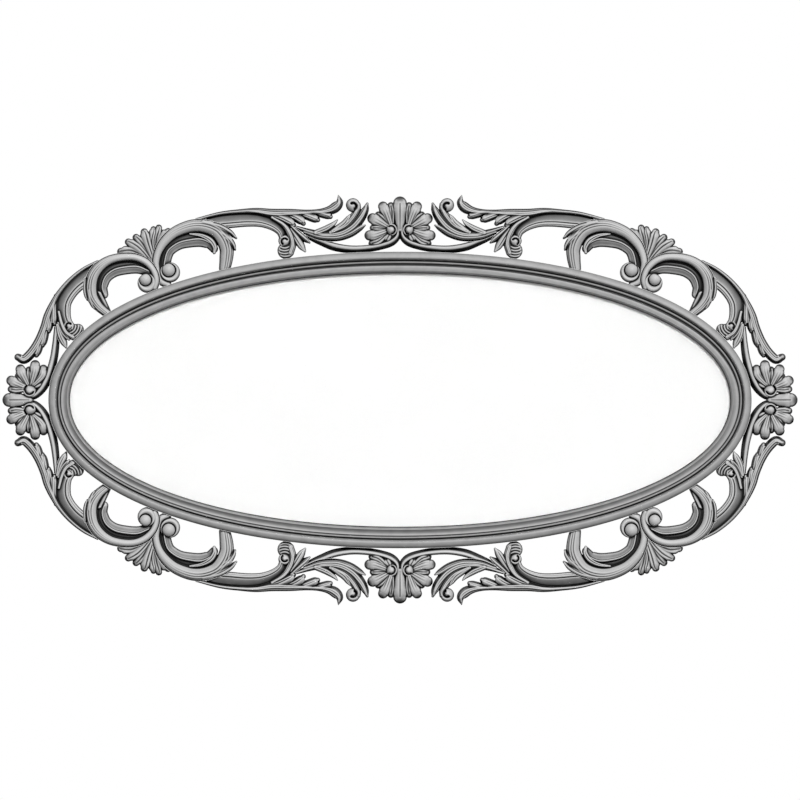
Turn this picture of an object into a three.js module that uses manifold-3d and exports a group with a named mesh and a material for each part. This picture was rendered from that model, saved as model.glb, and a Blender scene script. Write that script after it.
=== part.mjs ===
// Carved oval picture frame: a swept moulding in four segments with openwork leaf,
// scroll and shell carving round it, a glazed picture package in its rebate, turn
// buttons that hold the package in, and two ring hangers.
// Millimetres, +Z up, front towards -Y. The origin is the centre of the oval on the wall.
import * as THREE from 'three';
import Module from 'manifold-3d';

const wasm = await Module();
wasm.setup();

// Oval and moulding
const SIGHT_HALF_WIDTH = 495;
const SIGHT_HALF_HEIGHT = 190;
const OVAL_FULLNESS = 2.06;
const MOULDING_WIDTH = 32.4;
const SIDE_HEIGHT = 16;
const CROWN_HEIGHT = 23.5;
const FILLET_HEIGHT = 16.6;
const COVE_HEIGHT = 9.8;
const LIP_HEIGHT = 15.4;
const SIGHT_HEIGHT = 11.4;
const BEAD_WIDTH = 13.2;
const FILLET_WIDTH = 4;
const LIP_WIDTH = 5.4;
const REBATE_WIDTH = 7;

// Carving
const BAND = 85;
const RELIEF = 22;

// Clearances
const GAP = 0.3;
const PACKAGE_PLAY = 1.2;

// Picture package
const GLAZING_THICKNESS = 2;
const PICTURE_THICKNESS = 1;
const BACKING_THICKNESS = 3;
const BACKING_RECESS = 0.1;

// Fixings on the back
const BUTTON_LENGTH = 24;
const BUTTON_WIDTH = 9;
const BUTTON_THICKNESS = 1.6;
const SCREW_SHANK = 3;
const SCREW_HEAD = 6;
const SCREW_HEAD_HEIGHT = 1.5;
const SCREW_LENGTH = 10;
const SCREW_SIDES = 6;
const BAR_SIDES = 8;
const RING_STEPS = 9;
const END_STEPS = 3;
const BUMPER_SIDES = 12;
const STRAP_WIDTH = 10;
const STRAP_LENGTH = 19.5;
const STRAP_THICKNESS = 1;
const RING_WIRE = 2.4;
const RING_RADIUS = 9;
const EYE_WALL = 0.9;
const BUMPER_DIAMETER = 12;
const BUMPER_THICKNESS = 5.2;
const KEY_LENGTH = 28;
const KEY_WIDTH = 12;
const KEY_WAIST = 7;
const KEY_DEPTH = 5;

// Worked out from the sizes above
const REBATE_DEPTH = 3 * GAP + GLAZING_THICKNESS + PICTURE_THICKNESS + BACKING_THICKNESS + BACKING_RECESS;
const BACK_WIDTH = MOULDING_WIDTH - REBATE_WIDTH;
const BACK_MIDDLE = REBATE_WIDTH + BACK_WIDTH / 2;
const STAND_OFF = BUMPER_THICKNESS + GAP;
const PILOT_RADIUS = SCREW_SHANK / 2 + GAP;

// Places round the oval, in degrees from the top centre
const JOINT_ANGLE = 45;
const HANGER_ANGLE = 36;
const BUMPER_ANGLE = 144;
const BUTTON_ANGLES = [25, 90, 155, 205, 270, 335];
const LONG_SPANS = 8;
const END_SPANS = 10;

const carvedWood = new THREE.MeshStandardMaterial({ color: 0x8f8f8f, roughness: 0.5, metalness: 0 });
const rearWood = new THREE.MeshStandardMaterial({ color: 0x9a7b55, roughness: 0.7, metalness: 0 });
const glass = new THREE.MeshStandardMaterial({ color: 0xf2f7f7, roughness: 0.05, metalness: 0 });
const paper = new THREE.MeshStandardMaterial({ color: 0xf6f6f4, roughness: 0.8, metalness: 0 });
const board = new THREE.MeshStandardMaterial({ color: 0x7a5a3a, roughness: 0.8, metalness: 0 });
const brass = new THREE.MeshStandardMaterial({ color: 0xb8964e, roughness: 0.35, metalness: 1 });
const steel = new THREE.MeshStandardMaterial({ color: 0xb4b6b8, roughness: 0.3, metalness: 1 });
const rubber = new THREE.MeshStandardMaterial({ color: 0x2a2a2a, roughness: 0.8, metalness: 0 });

// Places on the oval

const power = (value, exponent) => Math.sign(value) * Math.abs(value) ** exponent;

// A point at a distance outside the sight edge, with the outward direction there.
function ovalPoint(degrees, out) {
  const t = THREE.MathUtils.degToRad(degrees);
  const x = SIGHT_HALF_WIDTH * power(Math.sin(t), 2 / OVAL_FULLNESS);
  const z = SIGHT_HALF_HEIGHT * power(Math.cos(t), 2 / OVAL_FULLNESS);
  const normal = new THREE.Vector2(
    power(x / SIGHT_HALF_WIDTH, OVAL_FULLNESS - 1) / SIGHT_HALF_WIDTH,
    power(z / SIGHT_HALF_HEIGHT, OVAL_FULLNESS - 1) / SIGHT_HALF_HEIGHT,
  ).normalize();
  return { x: x + normal.x * out, z: z + normal.y * out, normal };
}

// The carving is placed by an angle and by percents of the band outside the moulding.
const share = (percent) => (percent * BAND) / 100;

function bandPoint(degrees, outPercent) {
  const { x, z } = ovalPoint(degrees, MOULDING_WIDTH + share(outPercent));
  return new THREE.Vector2(x, z);
}

// A plan point at a height above the back plane becomes a point in space.
const raise = (plan, height) => [plan.x, -(STAND_OFF + height), plan.y];

const series = (count) => Array.from({ length: count }, (_, i) => i);

// Solids

// Joins equal closed rings into one closed body; outline is the ring in two dimensions.
function loft(rings, outline) {
  const size = outline.length;
  const triangles = [];
  for (let k = 0; k < rings.length - 1; k += 1) {
    for (let i = 0; i < size; i += 1) {
      const a = k * size + i;
      const b = k * size + ((i + 1) % size);
      triangles.push(a, b, b + size, a, b + size, a + size);
    }
  }
  const caps = THREE.ShapeUtils.triangulateShape(outline, []);
  const clockwise = THREE.ShapeUtils.isClockWise(outline);
  const last = (rings.length - 1) * size;
  for (const cap of caps) {
    const [a, b, c] = clockwise ? [...cap].reverse() : cap;
    triangles.push(a, c, b, last + a, last + b, last + c);
  }
  return solidFrom(rings.flat(2), triangles);
}

function signedVolume(points, triangles) {
  const corner = (i) => new THREE.Vector3().fromArray(points, 3 * i);
  let volume = 0;
  for (let i = 0; i < triangles.length; i += 3) {
    const [a, b, c] = [corner(triangles[i]), corner(triangles[i + 1]), corner(triangles[i + 2])];
    volume += a.dot(b.cross(c)) / 6;
  }
  return volume;
}

function solidFrom(points, triangles) {
  const faces = signedVolume(points, triangles) < 0 ? [...triangles].reverse() : triangles;
  return new wasm.Manifold(new wasm.Mesh({
    numProp: 3,
    vertProperties: new Float32Array(points),
    triVerts: new Uint32Array(faces),
  }));
}

const unite = (solids) => solids.reduce((whole, solid) => whole.add(solid));

// A cut can leave a chip behind a neighbour; the piece is its main body.
function mainBody(solid) {
  return solid.decompose().reduce((a, b) => (a.volume() > b.volume() ? a : b));
}

function geometryOf(solid) {
  const mesh = solid.getMesh();
  const geometry = new THREE.BufferGeometry();
  geometry.setAttribute('position', new THREE.BufferAttribute(mesh.vertProperties, 3));
  geometry.setIndex(new THREE.BufferAttribute(mesh.triVerts, 1));
  return geometry;
}

function mirrored(geometry, signX, signZ) {
  const copy = geometry.clone();
  copy.scale(signX, 1, signZ);
  if (signX * signZ < 0) {
    copy.index.array.reverse();
  }
  return copy;
}

// A flat plate with an outline in the XZ plane, between two heights above the back plane.
function plate(outline, low, high) {
  const rings = [low, high].map((height) => outline.map((point) => raise(point, height)));
  return loft(rings, outline);
}

function circle(centre, radius, sides) {
  return series(sides).map((i) => {
    const angle = (2 * Math.PI * i) / sides;
    return new THREE.Vector2(centre.x + radius * Math.cos(angle), centre.y + radius * Math.sin(angle));
  });
}

// Cross-sections of the carving: [across from -1 to 1, share of the crest height]
const ROLL = [[-1, 0.5], [-0.5, 0.95], [0.5, 0.95], [1, 0.5]];
const ROOF = [[-1, 0.6], [0, 1], [1, 0.6]];
const GABLE = [[0, 1]];
const CHANNEL = [[-1, 0.62], [-0.3, 0.66], [0.45, 1], [1, 0.58]];
const FLANK = [[-1, 0.7], [0.05, 1], [1, 0.4]];
const PRISM_HEIGHT = 2 * RELIEF;
const PRISM = [[-1, PRISM_HEIGHT], [1, PRISM_HEIGHT]];

const turned = (section) => section.map(([across, height]) => [-across, height]).reverse();

// A smooth run through the rows
function smoothRow(rows, place) {
  const i = Math.min(Math.floor(place), rows.length - 2);
  const f = place - i;
  return rows[i].map((p1, k) => {
    const p2 = rows[i + 1][k];
    const p0 = i > 0 ? rows[i - 1][k] : 2 * p1 - p2;
    const p3 = i + 2 < rows.length ? rows[i + 2][k] : 2 * p2 - p1;
    return 0.5 * (2 * p1 + (p2 - p0) * f + (2 * p0 - 5 * p1 + 4 * p2 - p3) * f * f
      + (3 * p1 - p0 - 3 * p2 + p3) * f * f * f);
  });
}

// Rows given as degrees, percent out, percent half width and percent of the relief become
// rows of x, z, half width and crest height in millimetres.
function bandRows(rows) {
  return rows.map(([degrees, out, half, height]) => {
    const point = bandPoint(degrees, out);
    return [point.x, point.y, share(half), (height * RELIEF) / 100];
  });
}

// A carved strap along a spine. Where edges are given, the strap runs out to a tip or in to
// a notch there. With a clearance it is the room that the strap takes up.
function strap(rows, section, clearance = 0, edges = []) {
  const last = rows.length - 1;
  const rings = rows.map(([x, z, half, height], i) => {
    const [before, after] = [rows[Math.max(i - 1, 0)], rows[Math.min(i + 1, last)]];
    const along = new THREE.Vector2(after[0] - before[0], after[1] - before[1]).normalize();
    const across = new THREE.Vector2(-along.y, along.x);
    const end = i === 0 ? -clearance : i === last ? clearance : 0;
    const middle = new THREE.Vector2(x, z).addScaledVector(along, end);
    const edge = (side, point) => {
      const reach = point ? bandPoint(...point).sub(middle)
        : across.clone().multiplyScalar(side * Math.max(half, GAP));
      return middle.clone().addScaledVector(reach, 1 + clearance / reach.length());
    };
    const [right, left] = [edge(-1, edges[i]?.right), edge(1, edges[i]?.left)];
    const at = (side, top) => raise(middle.clone().lerp(side < 0 ? right : left, Math.abs(side)), top);
    const base = clearance ? -RELIEF : 0;
    const shape = clearance ? PRISM : section.map(([side, part]) => [side, part * height]);
    return [at(-1, base), ...shape.map(([side, top]) => at(side, top)), at(1, base)];
  });
  const outline = [[-1, 0], ...(clearance ? PRISM : section), [1, 0]];
  return loft(rings, outline.map(([side, top]) => new THREE.Vector2(side, top)));
}

// A scroll's eye: a disc, and a ball that rises out of it, each with its own centre.
const EYE_SIDES = 7;

function volute(disc, ball, clearance = 0) {
  const levels = clearance ? [[disc, 1, -RELIEF], [disc, 1, PRISM_HEIGHT]] : [
    [disc, 1, 0], [disc, 1, disc.height], [ball, 0.6, ball.height],
  ];
  const rings = levels.map(([{ centre, radius }, part, level]) => (
    circle(centre, radius * part + clearance, EYE_SIDES).map((point) => raise(point, level))
  ));
  return loft(rings, circle(disc.centre, disc.radius, EYE_SIDES));
}

// An outline moved outwards by a clearance
function widened(outline, clearance) {
  const sense = THREE.ShapeUtils.isClockWise(outline) ? -clearance : clearance;
  const normal = (from, to) => new THREE.Vector2(to.y - from.y, from.x - to.x).normalize();
  return outline.map((point, i) => {
    const before = normal(outline.at(i - 1), point);
    const after = normal(point, outline[(i + 1) % outline.length]);
    return point.clone().addScaledVector(before.clone().add(after), sense / (1 + before.dot(after)));
  });
}

// A fan of flutes. Each lobe runs from its root through a middle point to a round tip, and
// shares a sharp ridge with the next. Rows go from the roots to the tips: place along the
// lobe, share of its half width, share of the fan's height, share of the hollow's depth.
const FAN_ROWS = [[0, 0.42, 0.86, 0.6], [0.68, 1, 1, 1], [1, 0.66, 0.94, 0.35]];
const LAST_ROW = FAN_ROWS.length - 1;
const NOTCH_PLACE = 0.86;
const SHOULDER_START = 0.05;
const SHOULDER_PLACE = 0.94;
const SHOULDER_ACROSS = 0.55;
const SHOULDER_TIP = 0.72;
const FLUTE_DEPTH = 0.36;
const SHOULDER_DEPTH = 0.22;

function lobePoint({ root, middle, tip, half }, place, across) {
  const spine = [root, middle, tip].map((point) => [point.x, point.y]);
  const at = (value) => new THREE.Vector2(...smoothRow(spine, 2 * THREE.MathUtils.clamp(value, 0, 1)));
  const along = at(place + 0.05).sub(at(place - 0.05)).normalize();
  const step = Math.max(1, FAN_ROWS.findIndex(([end]) => end >= place));
  const [[from, narrow], [to, wide]] = [FAN_ROWS[step - 1], FAN_ROWS[step]];
  const width = half * THREE.MathUtils.mapLinear(place, from, to, narrow, wide);
  return at(place).add(new THREE.Vector2(along.y, -along.x).multiplyScalar(across * width));
}

// Columns across the fan; a broad lobe has shoulders beside its hollow, a narrow one has none.
function fanColumns(lobes) {
  const line = (lobe, across, end, start = 0) => FAN_ROWS.map(([place], row) => (
    lobePoint(lobe, row === LAST_ROW ? end : Math.max(place, start), across)
  ));
  const halfway = (left, right) => left.map((point, row) => point.clone().lerp(right[row], 0.5));
  const ridges = [
    line(lobes[0], -1, NOTCH_PLACE),
    ...lobes.slice(1).map((lobe, i) => halfway(line(lobes[i], 1, NOTCH_PLACE), line(lobe, -1, NOTCH_PLACE))),
    line(lobes.at(-1), 1, NOTCH_PLACE),
  ];
  const shoulder = (lobe, ridge) => {
    const notch = line(lobe, 0, NOTCH_PLACE);
    const points = line(lobe, 0, SHOULDER_PLACE, SHOULDER_START).map((point, row) => (
      point.addScaledVector(
        ridge[row].clone().sub(notch[row]), row === LAST_ROW ? SHOULDER_TIP : SHOULDER_ACROSS,
      )
    ));
    return { points, depth: SHOULDER_DEPTH };
  };
  const columns = lobes.flatMap((lobe, i) => {
    const hollow = { points: line(lobe, 0, 1), depth: FLUTE_DEPTH };
    const inside = lobe.broad ? [shoulder(lobe, ridges[i]), hollow, shoulder(lobe, ridges[i + 1])] : [hollow];
    return [...inside, { points: ridges[i + 1], depth: 0 }];
  });
  return [{ points: ridges[0], depth: 0 }, ...columns];
}

function fan(lobes, height, clearance = 0) {
  const columns = fanColumns(lobes);
  const last = columns.length - 1;
  const index = (column, row) => column * FAN_ROWS.length + row;
  const rim = [
    ...columns.map((_, column) => index(column, LAST_ROW)),
    ...series(LAST_ROW).map((row) => index(last, LAST_ROW - 1 - row)),
    ...series(last).map((column) => index(last - 1 - column, 0)),
    ...series(LAST_ROW - 1).map((row) => index(0, row + 1)),
  ];
  const plan = columns.flatMap(({ points }) => points);
  const outline = rim.map((corner) => plan[corner]);
  if (clearance) {
    return plate(widened(outline, clearance), -RELIEF, PRISM_HEIGHT);
  }
  const rise = (row, depth) => height * (FAN_ROWS[row][2] - depth * FAN_ROWS[row][3]);
  const top = columns.flatMap(({ points, depth }) => (
    points.map((point, row) => raise(point, rise(row, depth)))
  ));
  const triangles = [];
  for (let column = 0; column < last; column += 1) {
    for (let row = 0; row < LAST_ROW; row += 1) {
      const [a, b] = [index(column, row), index(column + 1, row)];
      triangles.push(a, b, b + 1, a, b + 1, a + 1);
    }
  }
  rim.forEach((corner, i) => {
    const next = (i + 1) % rim.length;
    triangles.push(corner, rim[next], top.length + next, corner, top.length + next, top.length + i);
  });
  const flip = THREE.ShapeUtils.isClockWise(outline);
  for (const [a, b, c] of THREE.ShapeUtils.triangulateShape(outline, [])) {
    triangles.push(...(flip ? [a, c, b] : [a, b, c]).map((corner) => top.length + corner));
  }
  return solidFrom([...top, ...outline.map((point) => raise(point, 0))].flat(), triangles);
}

// The carved motifs of the upper right quarter. Each is a list of makers, which give the
// motif's solids, or with a clearance the room that they take up.

const ribbon = (rows, section, spans) => (clearance) => {
  const run = bandRows(rows);
  const stations = series(spans + 1).map((i) => smoothRow(run, ((run.length - 1) * i) / spans));
  return strap(stations, section, clearance);
};

// A leaf keeps its own rows, which may end with the places of its left and right edges.
const leaf = (rows, section) => (clearance) => (
  strap(bandRows(rows), section, clearance, rows.map((row) => row[4]))
);

const eye = (disc, ball) => (clearance) => {
  const [lower, upper] = [disc, ball].map(([degrees, out, radius, height]) => (
    { centre: bandPoint(degrees, out), radius: share(radius), height: (height * RELIEF) / 100 }
  ));
  return volute(lower, upper, clearance);
};

const build = (motif, clearance = 0) => unite(motif.map((make) => make(clearance)));

// Leaf scroll next to the corner palmette on its end side
const outerRoll = leaf([
  [58.1, 0, 8.1, 62], [58.8, 16, 9.3, 66, { right: [60.6, 12] }], [59, 28, 10, 70],
  [58.9, 39.6, 10.9, 72, { right: [60.9, 33] }], [58, 56.2, 11.6, 76], [56.2, 70.2, 10.9, 80],
  [53.2, 79.6, 9.6, 82], [49.8, 77.3, 8, 82], [46.8, 66.5, 7.4, 80], [44.8, 48, 7.4, 78],
  [44.3, 26, 8, 76], [44.9, 5, 7, 72],
], ROLL);
const outerScroll = [
  outerRoll,
  ribbon([[57, 27, 8.5, 46], [56, 45.3, 10.4, 52], [54.1, 57.8, 12.2, 56], [51.8, 61.8, 13.4, 56],
    [49.2, 58.2, 13.9, 56], [46.7, 50.5, 13.6, 54], [44.9, 34, 11.4, 50]], FLANK, 5),
  ribbon([[57.4, 2, 8, 40], [56.6, 38, 8, 44]], GABLE, 1),
  eye([46.4, 16.2, 17.2, 62], [46.5, 23.4, 10.4, 92]),
];

// Leaf scroll next to the corner palmette on its long side
const innerRoll = leaf([
  [42.6, 0, 7, 70], [43.2, 23.6, 9.6, 72], [43.1, 43.9, 7.8, 74], [41.8, 62.5, 8.2, 76],
  [39.4, 79.5, 9.8, 80], [36.3, 87, 11, 82], [33.1, 84.5, 12, 84], [30.9, 73.5, 12.9, 82],
  [29.8, 60, 12.8, 80, { right: [27.1, 47.3] }], [29.5, 50, 12.4, 80, { right: [28.3, 47.5] }],
  [29.4, 37, 11.2, 76, { right: [27.8, 28.1] }], [29.7, 26, 10.2, 74, { right: [28.7, 26] }],
  [30.6, 0, 8.8, 66],
], ROLL);
const innerScroll = [
  innerRoll,
  ribbon([[42, 34, 12, 50], [40.7, 56, 13.6, 54], [37.6, 65.8, 12.9, 56], [35.4, 65.1, 14, 56],
    [33.4, 62.4, 15, 54], [32, 53, 12.7, 50], [31.4, 40, 8, 44]], FLANK, 5),
  eye([41, 20.2, 18, 62], [41.2, 25, 11.6, 92]),
];

// Fan of flutes that rises between the two scrolls: root, middle, tip, percent half width
const PALMETTE_HEIGHT = 0.62 * RELIEF;
const BROAD_LEAF = 8;
const palmetteLobes = [
  [[42.7, 55.7], [40.9, 78.2], [38.3, 92.5], 9.2],
  [[43, 54.8], [41.9, 81.1], [40.1, 106], 6.4],
  [[43.2, 55.5], [42.7, 81.9], [41.2, 106.7], 5.6],
  [[43.5, 54.5], [43.5, 81.7], [43.2, 109.1], 8.5],
  [[43.7, 55.1], [44.4, 78.7], [45.3, 104.7], 7.4],
  [[44, 54], [45.4, 77.3], [47.2, 101.4], 7.4],
  [[44.2, 53], [46.6, 75.4], [49.6, 88.7], 7.8],
].map(([root, middle, tip, half]) => ({
  root: bandPoint(...root), middle: bandPoint(...middle), tip: bandPoint(...tip),
  half: share(half), broad: half > BROAD_LEAF,
}));
const palmette = [(clearance) => fan(palmetteLobes, PALMETTE_HEIGHT, clearance)];

// Long arm over the top: leaf crest with lobes, hollow channel and curled end
const topArmLeaves = [
  leaf([
    [33.5, 97, 2.5, 62], [28.8, 97.1, 3.8, 68], [25.2, 93.3, 4.8, 74], [22.6, 89, 6.4, 78],
    [20.6, 83.4, 8, 80, { left: [16.6, 52.8] }], [19.2, 80.6, 7.9, 80, { left: [17.6, 69] }],
    [18, 79, 7.6, 78, { left: [15.1, 52.8] }], [16.6, 77.8, 7, 78, { left: [15.1, 69] }],
    [15.4, 76.6, 5.8, 76, { left: [12.4, 58.5] }], [14, 75.8, 5.3, 76, { left: [12.9, 70] }],
    [12.8, 75.4, 5.6, 76, { left: [10.4, 62.2] }], [11.4, 76.5, 7.2, 80, { left: [10.6, 70.5] }],
    [10, 81.9, 9.2, 84], [9.3, 90.6, 6.7, 84], [9.4, 102.9, 0.7, 70],
  ], ROOF),
  ribbon([[20.5, 75.5, 3.9, 72], [18.2, 50, 6, 76], [18.2, 9.8, 7.1, 70]], ROOF, 3),
  leaf([[18.5, 56, 4.2, 60], [17, 38, 5.6, 62], [16.3, 29, 5.6, 60, { right: [14.5, 21.5] }],
    [16.2, 24, 5, 58, { right: [15.5, 21.5] }], [15.5, 6.7, 1.4, 46]], ROOF),
];
const topArm = [
  ...topArmLeaves,
  ribbon([[34.2, 80, 9.5, 46], [30.6, 84.2, 12, 52], [27.7, 81.6, 12.9, 54], [24.9, 78.6, 12.8, 56],
    [22.4, 73.2, 12.2, 56], [20.5, 63, 10.9, 56], [19.4, 49.2, 8.6, 56], [19.2, 31, 7.4, 56]], CHANNEL, 4),
  eye([18.9, 14.2, 14.6, 62], [18.9, 29, 10.6, 78]),
];

// Leaf spray that curls over beside the top shell
const leafSpray = [
  leaf([
    [16.7, 53.1, 2.8, 50], [14.4, 41.8, 4.9, 56], [12.6, 36, 5.8, 60, { right: [9.7, 60.6] }],
    [11.2, 34.4, 6.4, 64, { left: [11.6, 27.2], right: [10.5, 48] }],
    [9.7, 34.9, 7.2, 68, { left: [9.6, 23.5], right: [7.7, 68.1] }],
    [8.2, 40.6, 8, 70, { left: [7, 28.5] }], [6.7, 52, 8.4, 74, { left: [5.3, 48.6] }],
    [5.9, 63.5, 7.8, 74], [5.2, 76, 6, 72], [4.9, 88, 1.1, 60],
  ], ROOF),
  ribbon([[11.1, 38.3, 4.6, 60], [8.8, 47.5, 6.4, 68], [7.3, 62.6, 6.7, 76], [6.3, 84.7, 4.6, 88]], GABLE, 3),
  eye([7.2, 84.1, 11.8, 70], [7, 84.1, 7, 88]),
];

// Arm round the end: leaf crest with lobes, hollow channel and curled end
const sideArmRoot = [
  ribbon([[67.6, 50.5, 4.2, 66], [69.6, 27, 5.6, 70], [69.3, 5, 6, 66]], GABLE, 2),
  leaf([[69.5, 42, 3.4, 56], [71.5, 19, 5.6, 58], [73, 0.4, 1.4, 46]], GABLE),
];
const sideArm = [
  ...sideArmRoot,
  leaf([
    [54, 87.7, 2.5, 66], [57.3, 88.3, 3.2, 70], [60.9, 85.1, 3.9, 74], [64.3, 78.9, 4.6, 76],
    [66.4, 73.2, 5.6, 78, { right: [70.8, 40.7] }], [67.6, 69.6, 6.2, 78, { right: [70.2, 50.5] }],
    [68.8, 65.7, 6.9, 78, { right: [73.1, 40.8] }], [70, 61.7, 7.6, 78, { right: [72.5, 48.5] }],
    [71.4, 56.5, 7.8, 77, { right: [77.2, 35.2] }], [73, 51.8, 7.9, 76, { right: [75.2, 44] }],
    [75, 48.5, 8, 76, { right: [79.9, 37.1] }], [77, 47.6, 8.2, 78, { right: [79.2, 42] }],
    [79, 49.5, 8.5, 81], [80.9, 57, 8, 84], [80.9, 71.2, 3.9, 80],
  ], ROOF),
  ribbon([[55, 73.8, 14.8, 52], [59.2, 73.6, 15.2, 54], [62.3, 69.8, 14.4, 56], [65, 61, 14, 56],
    [67, 47.5, 14, 56], [67.9, 34.2, 12, 56], [68, 21.2, 9.5, 56]], turned(CHANNEL), 4),
  eye([67.9, 10.9, 13.3, 62], [68, 20, 8.1, 76]),
];

// Shells: flutes that fan out from a ball, each as lean from the axis, length, half width
// and bend, on both sides of a middle flute. The frame has a shell on each axis.
const SHELL_HEIGHT = 0.78 * RELIEF;
const FLUTE_ROOT = 7;
const FLUTE_MIDDLE = 0.6;
const BROAD_FLUTE = 10.4;

function shellFan(origin, outward, aside, shell) {
  const turn = (vector, angle) => vector.clone().rotateAround(new THREE.Vector2(), angle);
  const handed = Math.sign(outward.cross(aside));
  const side = (sign) => shell.flutes.map(([lean, length, half, bend]) => {
    const ball = origin.clone().addScaledVector(aside, sign * share(shell.ball[0]))
      .addScaledVector(outward, share(shell.ball[1]));
    const reach = turn(outward, sign * handed * THREE.MathUtils.degToRad(lean));
    const sideways = turn(reach, (sign * handed * Math.PI) / 2);
    const at = (distance, off) => ball.clone().addScaledVector(reach, share(distance))
      .addScaledVector(sideways, share(off));
    return {
      root: at(FLUTE_ROOT, 0), middle: at(length * FLUTE_MIDDLE, bend), tip: at(length, 0),
      half: share(half), broad: half > BROAD_FLUTE,
    };
  });
  const [rootPercent, tipPercent, half] = shell.middleFlute;
  const onAxis = (percent) => origin.clone().addScaledVector(outward, share(percent));
  const middle = {
    root: onAxis(rootPercent), middle: onAxis((rootPercent + tipPercent) / 2), tip: onAxis(tipPercent),
    half: share(half), broad: true,
  };
  const lobes = [...side(1).reverse(), middle, ...side(-1)];
  return handed > 0 ? lobes : lobes.reverse();
}

const UP = new THREE.Vector2(0, 1);
const RIGHT = new THREE.Vector2(1, 0);
const topShellShape = {
  ball: [13, 39.9],
  middleFlute: [46, 97.6, 13.4],
  flutes: [[4.9, 47.8, 7.4, -1.4], [23.9, 52.3, 9.9, -1.7], [45.9, 41.8, 6.8, -1.3],
    [62.7, 49.6, 10.6, -0.8], [86.8, 40.7, 6, -0.5], [103.7, 51.4, 10.2, 2.6], [123.2, 50.6, 6.4, 4.1],
    [160, 30, 10, 0]],
};
const sideShellShape = {
  ball: [18.7, 32.3],
  middleFlute: [46, 81.2, 13.8],
  flutes: [[2, 39.7, 6.6, -1.9], [25.7, 45.6, 9.9, -0.9], [48.1, 37.5, 6.2, -0.3], [64.9, 48.3, 9.5, -1],
    [86.8, 40.7, 6.2, -0.4], [100.4, 52.8, 9.7, 2.3], [120.2, 50.5, 8.5, 5.9], [150, 31, 9.8, 0]],
};
const topFan = shellFan(bandPoint(0, 0), UP, RIGHT, topShellShape);
const sideFan = shellFan(bandPoint(90, 0), RIGHT, UP, sideShellShape);

const topStem = [
  ribbon([[0.25, 50, 4.4, 62], [0.25, 29.7, 5.2, 64], [1.1, 17.4, 6.8, 66], [3.1, 9.9, 6, 68],
    [5.5, 6.3, 6, 68], [8, 6.6, 6.5, 66], [10.5, 12.2, 7.1, 60], [12.6, 22.4, 6.4, 56],
    [14.7, 34.2, 4.6, 50], [16.7, 51, 2.8, 44]], ROOF, 6),
];
const topEye = [eye([1.2, 39.2, 10.6, 78], [1.15, 39.9, 7.2, 96])];
const sideStem = [
  ribbon([[88, 41.9, 3.5, 62], [89, 36.8, 4.6, 64], [88.9, 25.5, 5.6, 66], [87.4, 14, 6.7, 68],
    [84.6, 6.8, 7.4, 68], [81.2, 5.4, 7.4, 66], [77.6, 9.5, 6.9, 62], [74.5, 18, 6.4, 58],
    [71.9, 29.3, 5.3, 54], [69.4, 44.3, 3.9, 48]], ROOF, 6),
];
const sideEye = [eye([87.8, 33.5, 11.6, 78], [87.4, 33.1, 7.8, 96])];

// Fitting of the carved pieces to the moulding and to each other

function stationAngles(from, to, spans) {
  return series(spans + 1).map((i) => from + ((to - from) * i) / spans);
}

const topAngles = stationAngles(-JOINT_ANGLE, JOINT_ANGLE, LONG_SPANS);
const rightAngles = stationAngles(JOINT_ANGLE, 180 - JOINT_ANGLE, END_SPANS);
const opposite = (angles) => angles.map((angle) => angle + 180);
const halfRound = [...topAngles.slice(0, -1), ...rightAngles.slice(0, -1)];
const allAngles = [...halfRound, ...opposite(halfRound)];

function ovalOutline(out) {
  return allAngles.map((angle) => {
    const { x, z } = ovalPoint(angle, out);
    return new THREE.Vector2(x, z);
  });
}

const mouldingRoom = plate(ovalOutline(MOULDING_WIDTH + GAP), -RELIEF, PRISM_HEIGHT);
const fitted = (solid, ...rooms) => (
  mainBody(rooms.reduce((rest, room) => rest.subtract(room), solid.subtract(mouldingRoom)))
);

const outerScrollRoom = outerRoll(GAP);
const innerScrollRoom = innerRoll(GAP);
const topArmRoom = build(topArmLeaves, GAP);
const sideArmRoom = build(sideArm, GAP);
const leafSprayRoom = build(leafSpray, GAP);

const QUARTER_PIECES = {
  outer_scroll: fitted(build(outerScroll)),
  inner_scroll: fitted(build(innerScroll), outerScrollRoom),
  palmette: fitted(build(palmette), outerScrollRoom, innerScrollRoom),
  side_arm: fitted(build(sideArm), outerScrollRoom),
  top_arm: fitted(build(topArm), innerScrollRoom),
  leaf_spray: fitted(build(leafSpray), topArmRoom, fan(topFan, SHELL_HEIGHT, GAP)),
};

// A shell is one piece with its two eyes and stems, which are mirrored to its other half.
function mirroredSolid(solid, signX, signZ) {
  const { index, attributes } = mirrored(geometryOf(solid), signX, signZ);
  return solidFrom([...attributes.position.array], [...index.array]);
}

const topSide = build(topStem).subtract(leafSprayRoom).subtract(topArmRoom).add(build(topEye));
const topShell = fitted(unite([fan(topFan, SHELL_HEIGHT), topSide, mirroredSolid(topSide, -1, 1)]));
const endSide = build([...sideStem, ...sideEye]);
const endRooms = [sideArmRoom, mirroredSolid(sideArmRoom, 1, -1)];
const endHalves = [endSide, mirroredSolid(endSide, 1, -1)];
const sideShell = fitted(unite([fan(sideFan, SHELL_HEIGHT), ...endHalves]), ...endRooms);

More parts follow.
